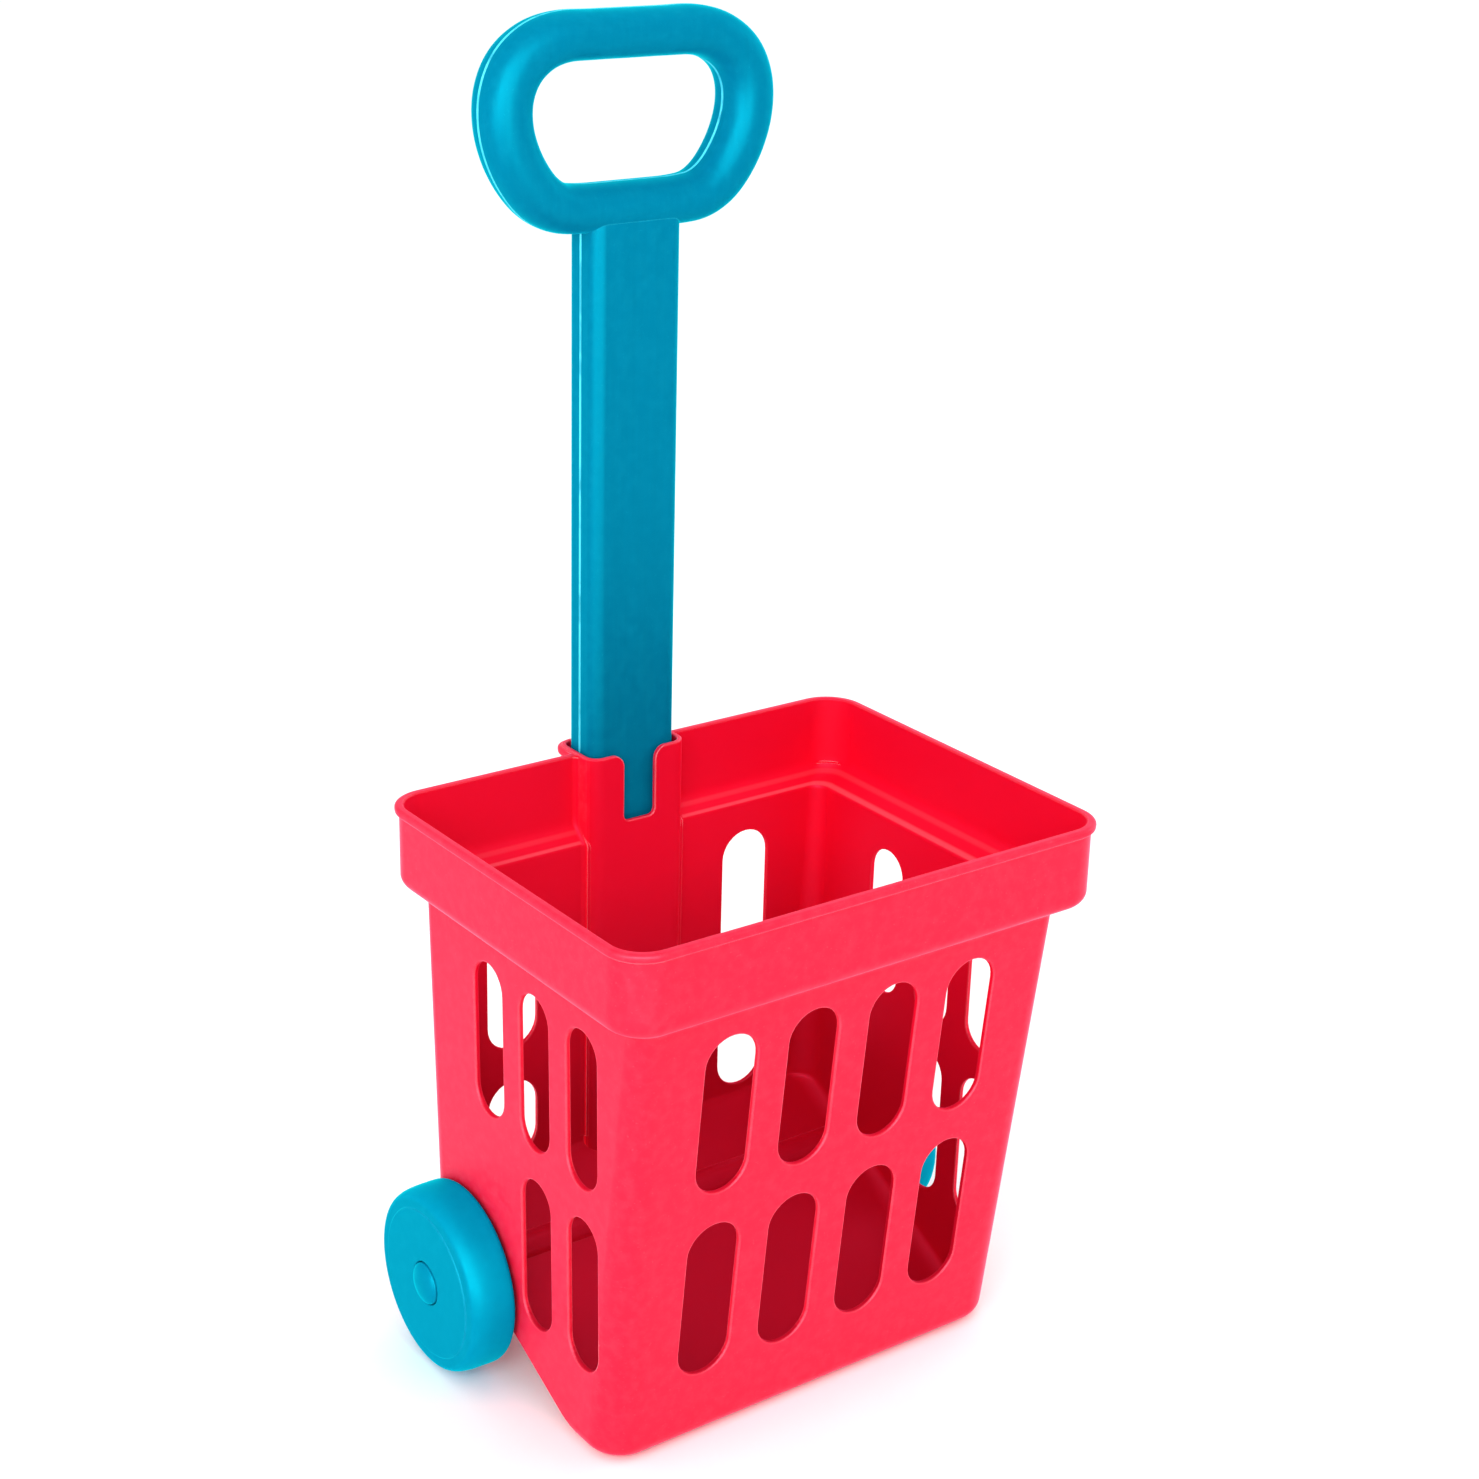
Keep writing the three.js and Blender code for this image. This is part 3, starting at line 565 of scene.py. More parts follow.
def slot(centre, bottom, top, width, place):
    """place(along the wall, z, depth) gives the point in space"""
    return loft([[place(u, z, depth) for u, z in stadium(centre, bottom, top, width, grow)]
                 for depth, grow in lips(WALL, outer_r=0.9, inner_r=0.6)])


def slot_cutters():
    def in_front(x, z, depth):
        return x, body_at(z)[1] + depth, z

    def in_back(x, z, depth):
        return x, body_at(z)[2] - depth, z

    cutters = []
    for i in range(4):
        for middle, half, width in FRONT_SLOTS:
            x = (i - 1.5) * FRONT_PITCH
            cutters.append(slot(x, middle - half, middle + half, width, in_front))
    for side in (-1, 1):
        def in_side(y, z, depth):
            return side * (body_at(z)[0] - depth), y, z

        for places, middle in SIDE_SLOTS:
            for y in places:
                cutters.append(slot(y, middle - SIDE_HALF, middle + SIDE_HALF, SIDE_WIDTH, in_side))
        for bottom, top in BACK_SLOTS:
            cutters.append(slot(side * BACK_X, bottom, top, BACK_WIDTH, in_back))
    return join(cutters)


def build_basket():
    outer, inner = outer_sections(), inner_sections()
    basket = skin(outer)
    cut(basket, skin(inner))
    add(basket, axle_cylinder(HUMP_R, HUMP_HALF))
    add(basket, socket_block())
    add(basket, socket_bead())
    inner_levels = [66, 90, 130, 170, 200, 206] + [row[-1] for row in SHELF]
    inner_levels += [219.0, 220.4, 222.0, 230, 240, 249.2]
    for side in (-1, 1):
        add(basket, corner_fillet(side, -1, inner, inner_levels))
        add(basket, corner_fillet(side, 1, outer, [64, 90, 130, 170, 200, 206]))
        add(basket, corner_fillet(side, 1, outer, [218.6, 225, 235, 245.4]))
    cut(basket, pocket_cutter())
    cut(basket, socket_floor_hole())
    cut(basket, notch_cutter())
    cut(basket, axle_cylinder(BORE_R, BORE_HALF))
    # opens the middle of the hump from below
    cut(basket, loft([rounded_rect(OPEN_HALF_X, AXLE_Y - OPEN_HALF_Y, AXLE_Y + OPEN_HALF_Y,
                                   OPEN_R, OPEN_R, z, steps=6)
                      for z in (AXLE_Z - HUMP_R - 14, AXLE_Z - 0.4)]))
    cut(basket, slot_cutters())
    finish(basket, "basket", "basket", name="basket_shell")


build_basket()

# ------------------------------------------------------------------ wheels and axle
# profiles: radius from the axle, distance out from the middle[, fillet]
TREAD = spline([
    (38.25, 107.0), (38.8, 106.52), (40.0, 106.6), (40.75, 107.6), (40.97, 109.6),
    (40.98, 113.0), (40.89, 117.8), (40.7, 120.1), (40.4, 122.1), (39.95, 123.7),
    (39.3, 125.05), (38.5, 125.95), (37.6, 126.38), (36.4, 126.48), (33.9, 126.5)], per=5)
WHEEL_SHELL = [
    (BORE_R, 112.6), (7.2, 112.6), (7.2, 118.0), (12.8, 118.0), (12.8, 124.4),
    (31.7, 124.4), (36.4, 123.2), (38.3, 120.8), (38.3, 112.9), *TREAD,
    (33.62, 126.49), (33.45, 126.55), (33.34, 126.66), (33.27, 126.78), (33.12, 126.9),
    (32.85, 127.0), (26.0, 127.03), (18.0, 127.05), (10.7, 127.06), (10.25, 127.0),
    (9.95, 126.82), (9.8, 126.5), (9.7, 126.1), (9.7, 120.4), (BORE_R, 120.4), (BORE_R, 112.6)]
BACK_DISC = rounded([
    (BORE_R, 108.0), (BORE_R, 106.2), (8.0, 106.2, 0.6), (8.6, 107.0, 0.6), (8.6, 110.2, 0.8),
    (20.0, 110.2), (20.6, 110.5, 0.3), (33.4, 110.5, 0.3), (34.0, 110.2), (37.5, 110.2, 0.35),
    (37.9, 110.7, 0.3), (37.9, 112.3), (BORE_R, 112.3), (BORE_R, 108.0)], steps=4)
HUB_CAP = [
    (7.8, 123.2), (9.3, 123.2),
    *spline([(9.3, 126.9), (9.18, 127.4), (8.8, 127.85), (8.2, 128.4), (7.2, 128.9),
             (4.8, 129.65), (2.4, 130.0), (0, 130.1)], per=4),
    (0, 128.4), (4.4, 128.1), (6.7, 127.2), (7.8, 126.2), (7.8, 123.2)]
PUSH_NUT = [
    (AXLE_R + 0.15, 120.8), (7.0, 120.8), (7.0, 121.5), (5.2, 121.75), (4.8, 122.0),
    (4.65, 124.2), (4.3, 124.9), (3.4, 125.5), (0, 125.8), (0, 125.0), (2.8, 124.8),
    (AXLE_R + 0.15, 124.2), (AXLE_R + 0.15, 120.8)]
WASHER = rounded([
    (BORE_R, 105.3), (BORE_R, 104.8, 0.2), (9.0, 104.8, 0.25), (9.0, 105.9, 0.25),
    (BORE_R, 105.9, 0.2), (BORE_R, 105.3)], steps=3)
ROD = rounded([
    (0, -AXLE_HALF), (AXLE_R - 0.7, -AXLE_HALF, 0.2), (AXLE_R, -AXLE_HALF + 0.9, 0.5),
    (AXLE_R, -30), (AXLE_R, 30), (AXLE_R, AXLE_HALF - 0.9, 0.5),
    (AXLE_R - 0.7, AXLE_HALF, 0.2), (0, AXLE_HALF)], steps=4)
PIN_MARK = [(0, 108), (2.0, 108), (2.0, 110.55), (1.85, 110.68), (0, 110.68)]
PIN_CIRCLE_R = 27


def turned(profile, steps, side, body, node):
    finish(lathe(profile, steps, along_x(side)), body, node, angle=30)


def back_disc(side):
    """inboard disc of a wheel, with a ring of shallow ejector-pin marks"""
    disc = lathe(BACK_DISC, 96, along_x(side))
    pins = []
    for k in range(6):
        a = math.radians(60 * k + 30)
        y, z = AXLE_Y + PIN_CIRCLE_R * math.cos(a), AXLE_Z + PIN_CIRCLE_R * math.sin(a)
        pins.append(lathe(PIN_MARK, 24, along_x(side, y, z)))
    cut(disc, join(pins))
    return disc


for end, side in (("left", -1), ("right", 1)):
    wheel = f"wheel_{end}"
    turned(WHEEL_SHELL, 128, side, wheel, f"wheel_shell_{end}")
    finish(back_disc(side), wheel, f"wheel_back_disc_{end}", angle=30)
    turned(HUB_CAP, 64, side, wheel, f"wheel_hub_cap_{end}")
    turned(PUSH_NUT, 48, side, "basket", f"axle_push_nut_{end}")
    turned(WASHER, 48, side, "basket", f"axle_washer_{end}")
turned(ROD, 48, 1, "basket", "axle_rod")


# ------------------------------------------------------------------ handle
def loop_stations():
    """even stations round the closed loop: x, half thickness, z"""
    points = [np.array([x, half, z], float) for x, z, half in LOOP]
    points += [np.array([-x, half, z], float) for x, z, half in reversed(LOOP[1:-1])]
    count = len(points)
    dense = []
    for i in range(count):
        before, start, end, after = (points[(i + k - 1) % count] for k in range(4))
        spans = ((start, before), (end, start), (after, end))
        d0, d1, d2 = (float(((q - p) ** 2).sum()) ** 0.25 for q, p in spans)
        leave = ((start - before) / d0 - (end - before) / (d0 + d1) + (end - start) / d1) * d1
        arrive = ((end - start) / d1 - (after - start) / (d1 + d2) + (after - end) / d2) * d1
        for k in range(40):
            t = k / 40
            dense.append(start + leave * t + (-3 * start + 3 * end - 2 * leave - arrive) * t * t
                         + (2 * start - 2 * end + leave + arrive) * t ** 3)
    dense = np.array(dense)
    lengths = np.linalg.norm(np.roll(dense, -1, 0) - dense, axis=1)
    travelled = np.concatenate([[0], np.cumsum(lengths)])
    closed = np.vstack([dense, dense[:1]])
    wanted = np.linspace(0, travelled[-1], LOOP_STATIONS, endpoint=False)
    out = np.stack([np.interp(wanted, travelled, closed[:, k]) for k in range(3)], 1)
    for _ in range(6):
        out = 0.25 * np.roll(out, 1, 0) + 0.5 * out + 0.25 * np.roll(out, -1, 0)
    return out


STATIONS = loop_stations()


def signed_power(value, power):
    return math.copysign(abs(value) ** power, value)


def sweep(section):
    """section(half thickness) gives the closed outline as (in the loop's plane, across) pairs"""
    n = len(STATIONS)
    verts, faces = [], []
    for i, (x, half, z) in enumerate(STATIONS):
        after, before = STATIONS[(i + 1) % n], STATIONS[i - 1]
        run_x, run_z = after[0] - before[0], after[2] - before[2]
        length = math.hypot(run_x, run_z)
        normal_x, normal_z = -run_z / length, run_x / length
        for u, across in section(half):
            verts.append((x + normal_x * u, MID_Y + across, z + normal_z * u))
    m = len(verts) // n
    for i in range(n):
        here, there = i * m, (i + 1) % n * m
        for j in range(m):
            k = (j + 1) % m
            faces.append((here + j, here + k, there + k, there + j))
    return make(verts, faces)


def half_section(sign):
    """front (-1) or rear (+1) half of the loop's section, eased along the parting line"""
    first = math.asin(((SPLIT + CHAMFER) / LOOP_HALF_Y) ** (LOOP_POWER / 2))

    def section(half):
        points = [(half - CHAMFER, sign * SPLIT)]
        for j in range(31):
            a = first + (math.pi - 2 * first) * j / 30
            points.append((half * signed_power(math.cos(a), 2 / LOOP_POWER),
                           sign * LOOP_HALF_Y * abs(math.sin(a)) ** (2 / LOOP_POWER)))
        points.append((-half + CHAMFER, sign * SPLIT))
        return points
    return section


def hollow_section(half):
    angles = [2 * math.pi * (j + 0.5) / 40 for j in range(40)]
    return [((half - HANDLE_WALL) * signed_power(math.cos(a), 2 / LOOP_POWER),
             (LOOP_HALF_Y - HANDLE_WALL) * signed_power(math.sin(a), 2 / LOOP_POWER))
            for a in angles]


def column_half_ring(sign, inset, z):
    """front (-1) or rear (+1) half of the column's section, eased along the parting line"""
    half_x, half_y, r = COLUMN_HALF_X - inset, COLUMN_HALF_Y - inset, COLUMN_R - inset
    corners = arc(half_x - r, half_y - r, r, 0, 90, 10) + arc(-half_x + r, half_y - r, r, 90, 90, 10)
    points = [(half_x - CHAMFER, sign * SPLIT), (half_x, sign * (SPLIT + CHAMFER))]
    points += [(x, sign * y) for x, y in corners]
    points += [(-half_x, sign * (SPLIT + CHAMFER)), (-half_x + CHAMFER, sign * SPLIT)]
    return [(x, MID_Y + y, z) for x, y in points]


def column_ring(inset, z, rear=0):
    """whole section of the column, with its rear moved out by rear"""
    radius = COLUMN_R - inset
    return rounded_rect(COLUMN_HALF_X - inset, MID_Y - COLUMN_HALF_Y + inset,
                        MID_Y + COLUMN_HALF_Y + rear - inset, radius, radius, z, steps=8)


def solid_half(sign, levels):
    """loop and column half, unhollowed; levels are (inset, z) down the column"""
    half = sweep(half_section(sign))
    add(half, loft([column_half_ring(sign, inset, z) for inset, z in levels]))
    return half


def screw_bosses(sign):
    bosses = []
    for x, z in SCREWS:
        if (x, z) in LOOP_SCREWS:
            outer = LOOP_HALF_Y - 1.0
        else:
            outer = COLUMN_HALF_Y - (1.2 if sign < 0 else 0.8)
        low, high = sorted((MID_Y + sign * SPLIT, MID_Y + sign * outer))
        radius = BOSS_R_FRONT if sign < 0 else BOSS_R_REAR
        profile = [(0, low), (radius, low), (radius, high), (0, high)]
        bosses.append(lathe(profile, 36, along_y(x, z)))
    bosses = join(bosses)
    common(bosses, solid_half(sign, [(0, COLUMN_BOTTOM), (0, COLUMN_TOP)]))
    return bosses


def screw_holes(sign):
    """blind holes in the front half; in the rear, through holes with sunk seats"""
    rear = MID_Y + COLUMN_HALF_Y
    beyond = 125
    holes = []
    for x, z in SCREWS:
        if sign < 0:
            start, end = SCREW_TIP_Y - 1, MID_Y + 4
            profile = [(0, start), (SCREW_CLEAR, start), (SCREW_CLEAR, end), (0, end)]
        else:
            start = MID_Y - 4
            profile = [(0, start), (SCREW_CLEAR, start), (SCREW_CLEAR, SEAT_Y), (SINK_R, SEAT_Y)]
            if (x, z) in LOOP_SCREWS:
                profile += [(SINK_R, beyond), (0, beyond)]
            else:
                # rounded mouth on the column's flat rear face
                profile += [(SINK_R, rear - 0.5), (SINK_R + 0.04, rear - 0.31),
                            (SINK_R + 0.15, rear - 0.15), (SINK_R + 0.3, rear - 0.04),
                            (SINK_R + 0.5, rear + 0.01), (SINK_R + 0.5, beyond), (0, beyond)]
        holes.append(lathe(profile, 40, along_y(x, z)))
    return join(holes)


def handle_half(sign):
    levels = [(0.45, COLUMN_BOTTOM), (0.13, COLUMN_BOTTOM + 0.13), (0, COLUMN_BOTTOM + 0.45)]
    levels += [(0, z) for z in (260, 330, 400, 460, COLUMN_TOP)]
    half = solid_half(sign, levels)
    hollow = sweep(hollow_section)
    add(hollow, loft([column_ring(HANDLE_WALL, COLUMN_BOTTOM - 3),
                      column_ring(HANDLE_WALL, COLUMN_TOP)]))
    cut(half, hollow)
    add(half, screw_bosses(sign))
    cut(half, screw_holes(sign))
    return half


def end_cap():
    """plate under the column with a hollow spigot up inside it"""
    # inset, z from the column's bottom
    plate = [(0.8 * (1 - s), -3.1 + 0.8 * (1 - c)) for c, s in quarter(4)]
    plate += [(0, -0.45), (0.15, -0.3)]
    spigot = [(0.3, -1), (0.3, 6.6), (0.6, 7.4), (1.3, 8)]
    hollow = [(2.4, -6), (2.4, 4.8), (3.2, 5.6)]
    cap = loft([column_ring(inset, COLUMN_BOTTOM + z, rear=0.8) for inset, z in plate])
    add(cap, loft([column_ring(HANDLE_WALL + g, COLUMN_BOTTOM + z) for g, z in spigot]))
    cut(cap, loft([column_ring(HANDLE_WALL + g, COLUMN_BOTTOM + z) for g, z in hollow]))
    return cap


finish(handle_half(-1), "handle", "handle_front_shell", name="handle_front_mesh")
finish(handle_half(1), "handle", "handle_rear_shell", name="handle_rear_mesh")
finish(end_cap(), "handle", "handle_end_cap")


# ------------------------------------------------------------------ screws
THREAD_PITCH, THREAD_CORE, THREAD_CREST = 1.25, 1.12, 1.5
THREAD_ROWS, SCREW_STEPS = 104, 28


def thread_radius(y, turn, head_y):
    """turn is the fraction of a turn round the shank"""
    phase = (y / THREAD_PITCH - turn) % 1.0
    ridge = max(0.0, 1 - abs(phase - 0.5) / 0.22)
    radius = THREAD_CORE + (THREAD_CREST - THREAD_CORE) * ridge
    radius = min(radius, 0.12 + (y - SCREW_TIP_Y) * 0.62)
    if y > head_y - 0.7:
        fade = smooth((y - head_y + 0.7) / 0.4)
        radius = max(THREAD_CORE, radius * (1 - fade) + THREAD_CORE * fade)
    return radius


def recess_bar(top, turned_over):
    """one tapered bar of the cross recess"""
    rings = []
    # y, half length, half width
    for y, a, b in ((top - 1.25, 0.7, 0.24), (top - 0.2, 1.6, 0.36), (top + 1, 1.9, 0.4)):
        corners = [(a, b), (-a, b), (-a, -b), (a, -b)]
        rings.append([(v, y, u) if turned_over else (u, y, v) for u, v in corners])
    return loft(rings)


def screw():
    """pan-head self-tapping screw with a coarse thread and a cross recess, along +Y"""
    steps = SCREW_STEPS
    head_y = SEAT_Y + 0.3
    rings = []
    for i in range(1, THREAD_ROWS + 1):
        y = SCREW_TIP_Y + (head_y - SCREW_TIP_Y) * i / THREAD_ROWS
        rings.append(([thread_radius(y, j / steps, head_y) for j in range(steps)], y))
    head = spline([(HEAD_R, head_y + 0.12), (HEAD_R, head_y + 0.75), (HEAD_R - 0.22, head_y + 1.3),
                   (HEAD_R - 0.75, head_y + 1.72), (HEAD_R - 1.6, head_y + 1.94),
                   (0.5, head_y + HEAD_H)], per=3)
    rings += [([radius] * steps, y) for radius, y in [(HEAD_R - 0.12, head_y)] + head]
    verts = [(0, SCREW_TIP_Y, 0)]
    for radii, y in rings:
        for j, radius in enumerate(radii):
            a = 2 * math.pi * j / steps
            verts.append((radius * math.cos(a), y, radius * math.sin(a)))
    rows = [range(1 + k * steps, 1 + (k + 1) * steps) for k in range(len(rings))]
    faces = [(0, rows[0][(j + 1) % steps], rows[0][j]) for j in range(steps)]
    for low, high in zip(rows, rows[1:]):
        for j in range(steps):
            k = (j + 1) % steps
            faces.append((low[j], low[k], high[k], high[j]))
    faces.append(tuple(rows[-1]))
    ob = make(verts, faces)
    for turned_over in (False, True):
        cut(ob, recess_bar(head_y + HEAD_H, turned_over))
    return ob


def build_screws():
    pattern = screw()
    for i, (x, z) in enumerate(SCREWS):
        mesh = pattern.data.copy()
        ob = bpy.data.objects.new("part", mesh)
        scene.collection.objects.link(ob)
        turn = Matrix.Rotation(math.radians(SCREW_TURNS[i]), 4, "Y")
        mesh.transform(Matrix.Translation((x, 0, z)) @ turn)
        finish(ob, "handle", f"handle_screw_{i + 1}", angle=35)
    drop(pattern)


build_screws()


# ------------------------------------------------------------------ shader building
def linear(rgb):
    """linear colour from 0-255 sRGB"""
    return [c / 255 / 12.92 if c / 255 <= 0.04045 else ((c / 255 + 0.055) / 1.055) ** 2.4
            for c in rgb]


def shade(colour, amount):
    return [c * amount for c in colour]


def is_socket(value):
    return hasattr(value, "is_output")


class Graph:
    """short ways to add nodes to a node tree; each returns an output socket"""

    def __init__(self, tree, coordinates):
        self.tree = tree
        self.coords = self.new("ShaderNodeTexCoord").outputs[coordinates]

    def new(self, kind, **settings):
        node = self.tree.nodes.new(kind)
        for key, value in settings.items():
            setattr(node, key, value)
        return node

    def link(self, source, target):
        self.tree.links.new(source, target)

    def put(self, socket, value):
        if is_socket(value):
            self.link(value, socket)
        else:
            socket.default_value = value

    def put_colour(self, socket, value):
        self.put(socket, value if is_socket(value) else (*value, 1))

    def xyz(self, vector=None):
        node = self.new("ShaderNodeSeparateXYZ")
        self.link(vector or self.coords, node.inputs[0])
        return node.outputs

    def calc(self, operation, a, b=0.0):
        node = self.new("ShaderNodeMath", operation=operation)
        self.put(node.inputs[0], a)
        self.put(node.inputs[1], b)
        return node.outputs[0]

    def noise(self, scale, detail=2.0, rough=0.5, stretch=None):
        node = self.new("ShaderNodeTexNoise")
        source = self.coords
        if stretch:
            mapping = self.new("ShaderNodeMapping")
            mapping.inputs["Scale"].default_value = stretch
            self.link(source, mapping.inputs["Vector"])
            source = mapping.outputs[0]
        self.link(source, node.inputs["Vector"])
        node.inputs["Scale"].default_value = scale
        node.inputs["Detail"].default_value = detail
        node.inputs["Roughness"].default_value = rough
        return node.outputs["Fac"]

    def ramp(self, value, span, to=(0.0, 1.0)):
        node = self.new("ShaderNodeMapRange")
        self.put(node.inputs["Value"], value)
        node.inputs["From Min"].default_value, node.inputs["From Max"].default_value = span
        node.inputs["To Min"].default_value, node.inputs["To Max"].default_value = to
        return node.outputs["Result"]

    def mix(self, factor, a, b):
        node = self.new("ShaderNodeMix", data_type="RGBA")
        self.put(node.inputs["Factor"], factor)
        self.put_colour(node.inputs[6], a)
        self.put_colour(node.inputs[7], b)
        return node.outputs[2]

    def bump(self, height, strength, distance, normal=None):
        node = self.new("ShaderNodeBump")
        node.inputs["Strength"].default_value = strength
        node.inputs["Distance"].default_value = distance
        self.put(node.inputs["Height"], height)
        if normal is not None:
            self.link(normal, node.inputs["Normal"])
        return node.outputs[0]

    def dot(self, a, b):
        node = self.new("ShaderNodeVectorMath", operation="DOT_PRODUCT")
        self.link(a, node.inputs[0])
        self.link(b, node.inputs[1])
        return node.outputs["Value"]


class Shader(Graph):
    """a new material with a Principled shader on its output, and the masks the plastics use"""

    def __init__(self, name):
        self.mat = bpy.data.materials.new(name)
        self.mat.use_nodes = True
        self.mat.node_tree.nodes.clear()
        super().__init__(self.mat.node_tree, "Object")
        self.out = self.new("ShaderNodeOutputMaterial")
        self.bsdf = self.new("ShaderNodeBsdfPrincipled")
        self.link(self.bsdf.outputs[0], self.out.inputs["Surface"])

    def edge(self, radius):
        """1 along convex edges, where highlight is painted; 0 on flats and in inside corners"""
        bevel = self.new("ShaderNodeBevel", samples=4)
        bevel.inputs["Radius"].default_value = radius
        geometry = self.new("ShaderNodeNewGeometry")
        bend = self.dot(bevel.outputs[0], geometry.outputs["Normal"])
        occlusion = self.new("ShaderNodeAmbientOcclusion", samples=4)
        occlusion.inputs["Distance"].default_value = radius * 1.6
        return self.calc("MULTIPLY", self.ramp(bend, span=(0.996, 0.93)),
                         self.ramp(occlusion.outputs["AO"], span=(0.70, 0.92)))

    def inward(self):
        """masks for the shade painted inside the basket: 1 on faces that look into the basket or lie
        on its inner ledge; 1 low down, where that painted shade is darker
        """
        geometry = self.new("ShaderNodeNewGeometry")
        place = self.xyz()
        flat = self.new("ShaderNodeCombineXYZ")
        self.link(place["X"], flat.inputs["X"])
        self.link(place["Y"], flat.inputs["Y"])
        unit = self.new("ShaderNodeVectorMath", operation="NORMALIZE")
        self.link(flat.outputs[0], unit.inputs[0])
        facing = self.dot(unit.outputs[0], geometry.outputs["True Normal"])
        normal = self.xyz(geometry.outputs["True Normal"])
        # faces looking up inside the rim, such as the ledge's shelf, take the painted shade too
        upward = self.calc("MULTIPLY", self.ramp(normal["Z"], span=(0.3, 0.8)),
                           self.ramp(place["Z"], span=(0.245, 0.238)))
        inside = self.calc("MAXIMUM", self.ramp(facing, span=(-0.02, -0.25)), upward)
        return inside, self.ramp(place["Z"], span=(0.19, 0.09))

    def ledge(self, inside):
        """two highlight lines painted at the inner ledge's lip and at its hollow corner, stopping at
        the socket
        """
        place = self.xyz()
        lines = None
        # height and half width in metres, strength
        for height, half, amount in ((0.2112, 0.0006, 0.15), (0.2150, 0.0009, 0.05)):
            away = self.calc("ABSOLUTE", self.calc("SUBTRACT", place["Z"], height))
            line = self.ramp(away, span=(half * 1.3, half * 0.5), to=(0.0, amount))
            lines = line if lines is None else self.calc("MAXIMUM", lines, line)
        at_x = self.ramp(self.calc("ABSOLUTE", place["X"]),
                         span=((SOCKET_HALF_X + 2.2) / 1000, (SOCKET_HALF_X + 1.2) / 1000))
        at_y = self.ramp(place["Y"], span=(0.045, 0.050))
        clear = self.calc("SUBTRACT", 1.0, self.calc("MULTIPLY", at_x, at_y))
        return self.calc("MULTIPLY", self.calc("MULTIPLY", lines, inside), clear)

    def calm(self, inside):
        """low deep inside the basket, where the highlight painted on edges is turned down and edges
        stay the body colour
        """
        below = self.ramp(self.xyz()["Z"], span=(0.2095, 0.2075), to=(0.0, 0.85))
        return self.calc("SUBTRACT", 1.0, self.calc("MULTIPLY", inside, below))

    def tread(self):
        """0 on the wheel's face, rising over the shoulder to the tread, which is painted paler as
        light, in loose patches
        """
        place = self.xyz()
        off_y = self.calc("SUBTRACT", place["Y"], (AXLE_Y + ORIGIN_Y) / 1000)
        off_z = self.calc("SUBTRACT", place["Z"], AXLE_Z / 1000)
        radius = self.calc("SQRT", self.calc("ADD", self.calc("MULTIPLY", off_y, off_y),
                                             self.calc("MULTIPLY", off_z, off_z)))
        patches = self.ramp(self.noise(scale=120, detail=3, rough=0.6), span=(0.3, 0.7),
                            to=(0.9, 1.1))
        return self.calc("MULTIPLY", self.ramp(radius, span=(0.0365, 0.0405), to=(0.0, 0.40)),
                         patches)

    def parting(self):
        """1 along the parting line of the two handle halves, where highlight is painted, slightly
        broken
        """
        middle = (MID_Y + ORIGIN_Y) / 1000
        away = self.calc("ABSOLUTE", self.calc("SUBTRACT", self.xyz()["Y"], middle))
        broken = self.ramp(self.noise(scale=70, detail=2, rough=0.6), span=(0.36, 0.5),
                           to=(0.45, 1.0))
        return self.calc("MULTIPLY", self.ramp(away, span=(0.00085, 0.00055)), broken)

    def coat(self, colour, roughness, normal):
        """pigmented surface sheen over the body colour"""
        gloss = self.new("ShaderNodeBsdfGlossy")
        self.put_colour(gloss.inputs["Color"], colour)
        self.link(roughness, gloss.inputs["Roughness"])
        self.link(normal, gloss.inputs["Normal"])
        fresnel = self.new("ShaderNodeFresnel")
        fresnel.inputs["IOR"].default_value = 1.49
        self.link(normal, fresnel.inputs["Normal"])
        both = self.new("ShaderNodeMixShader")
        self.link(fresnel.outputs[0], both.inputs[0])
        self.link(self.bsdf.outputs[0], both.inputs[1])
        self.link(gloss.outputs[0], both.inputs[2])
        self.link(both.outputs[0], self.out.inputs["Surface"])


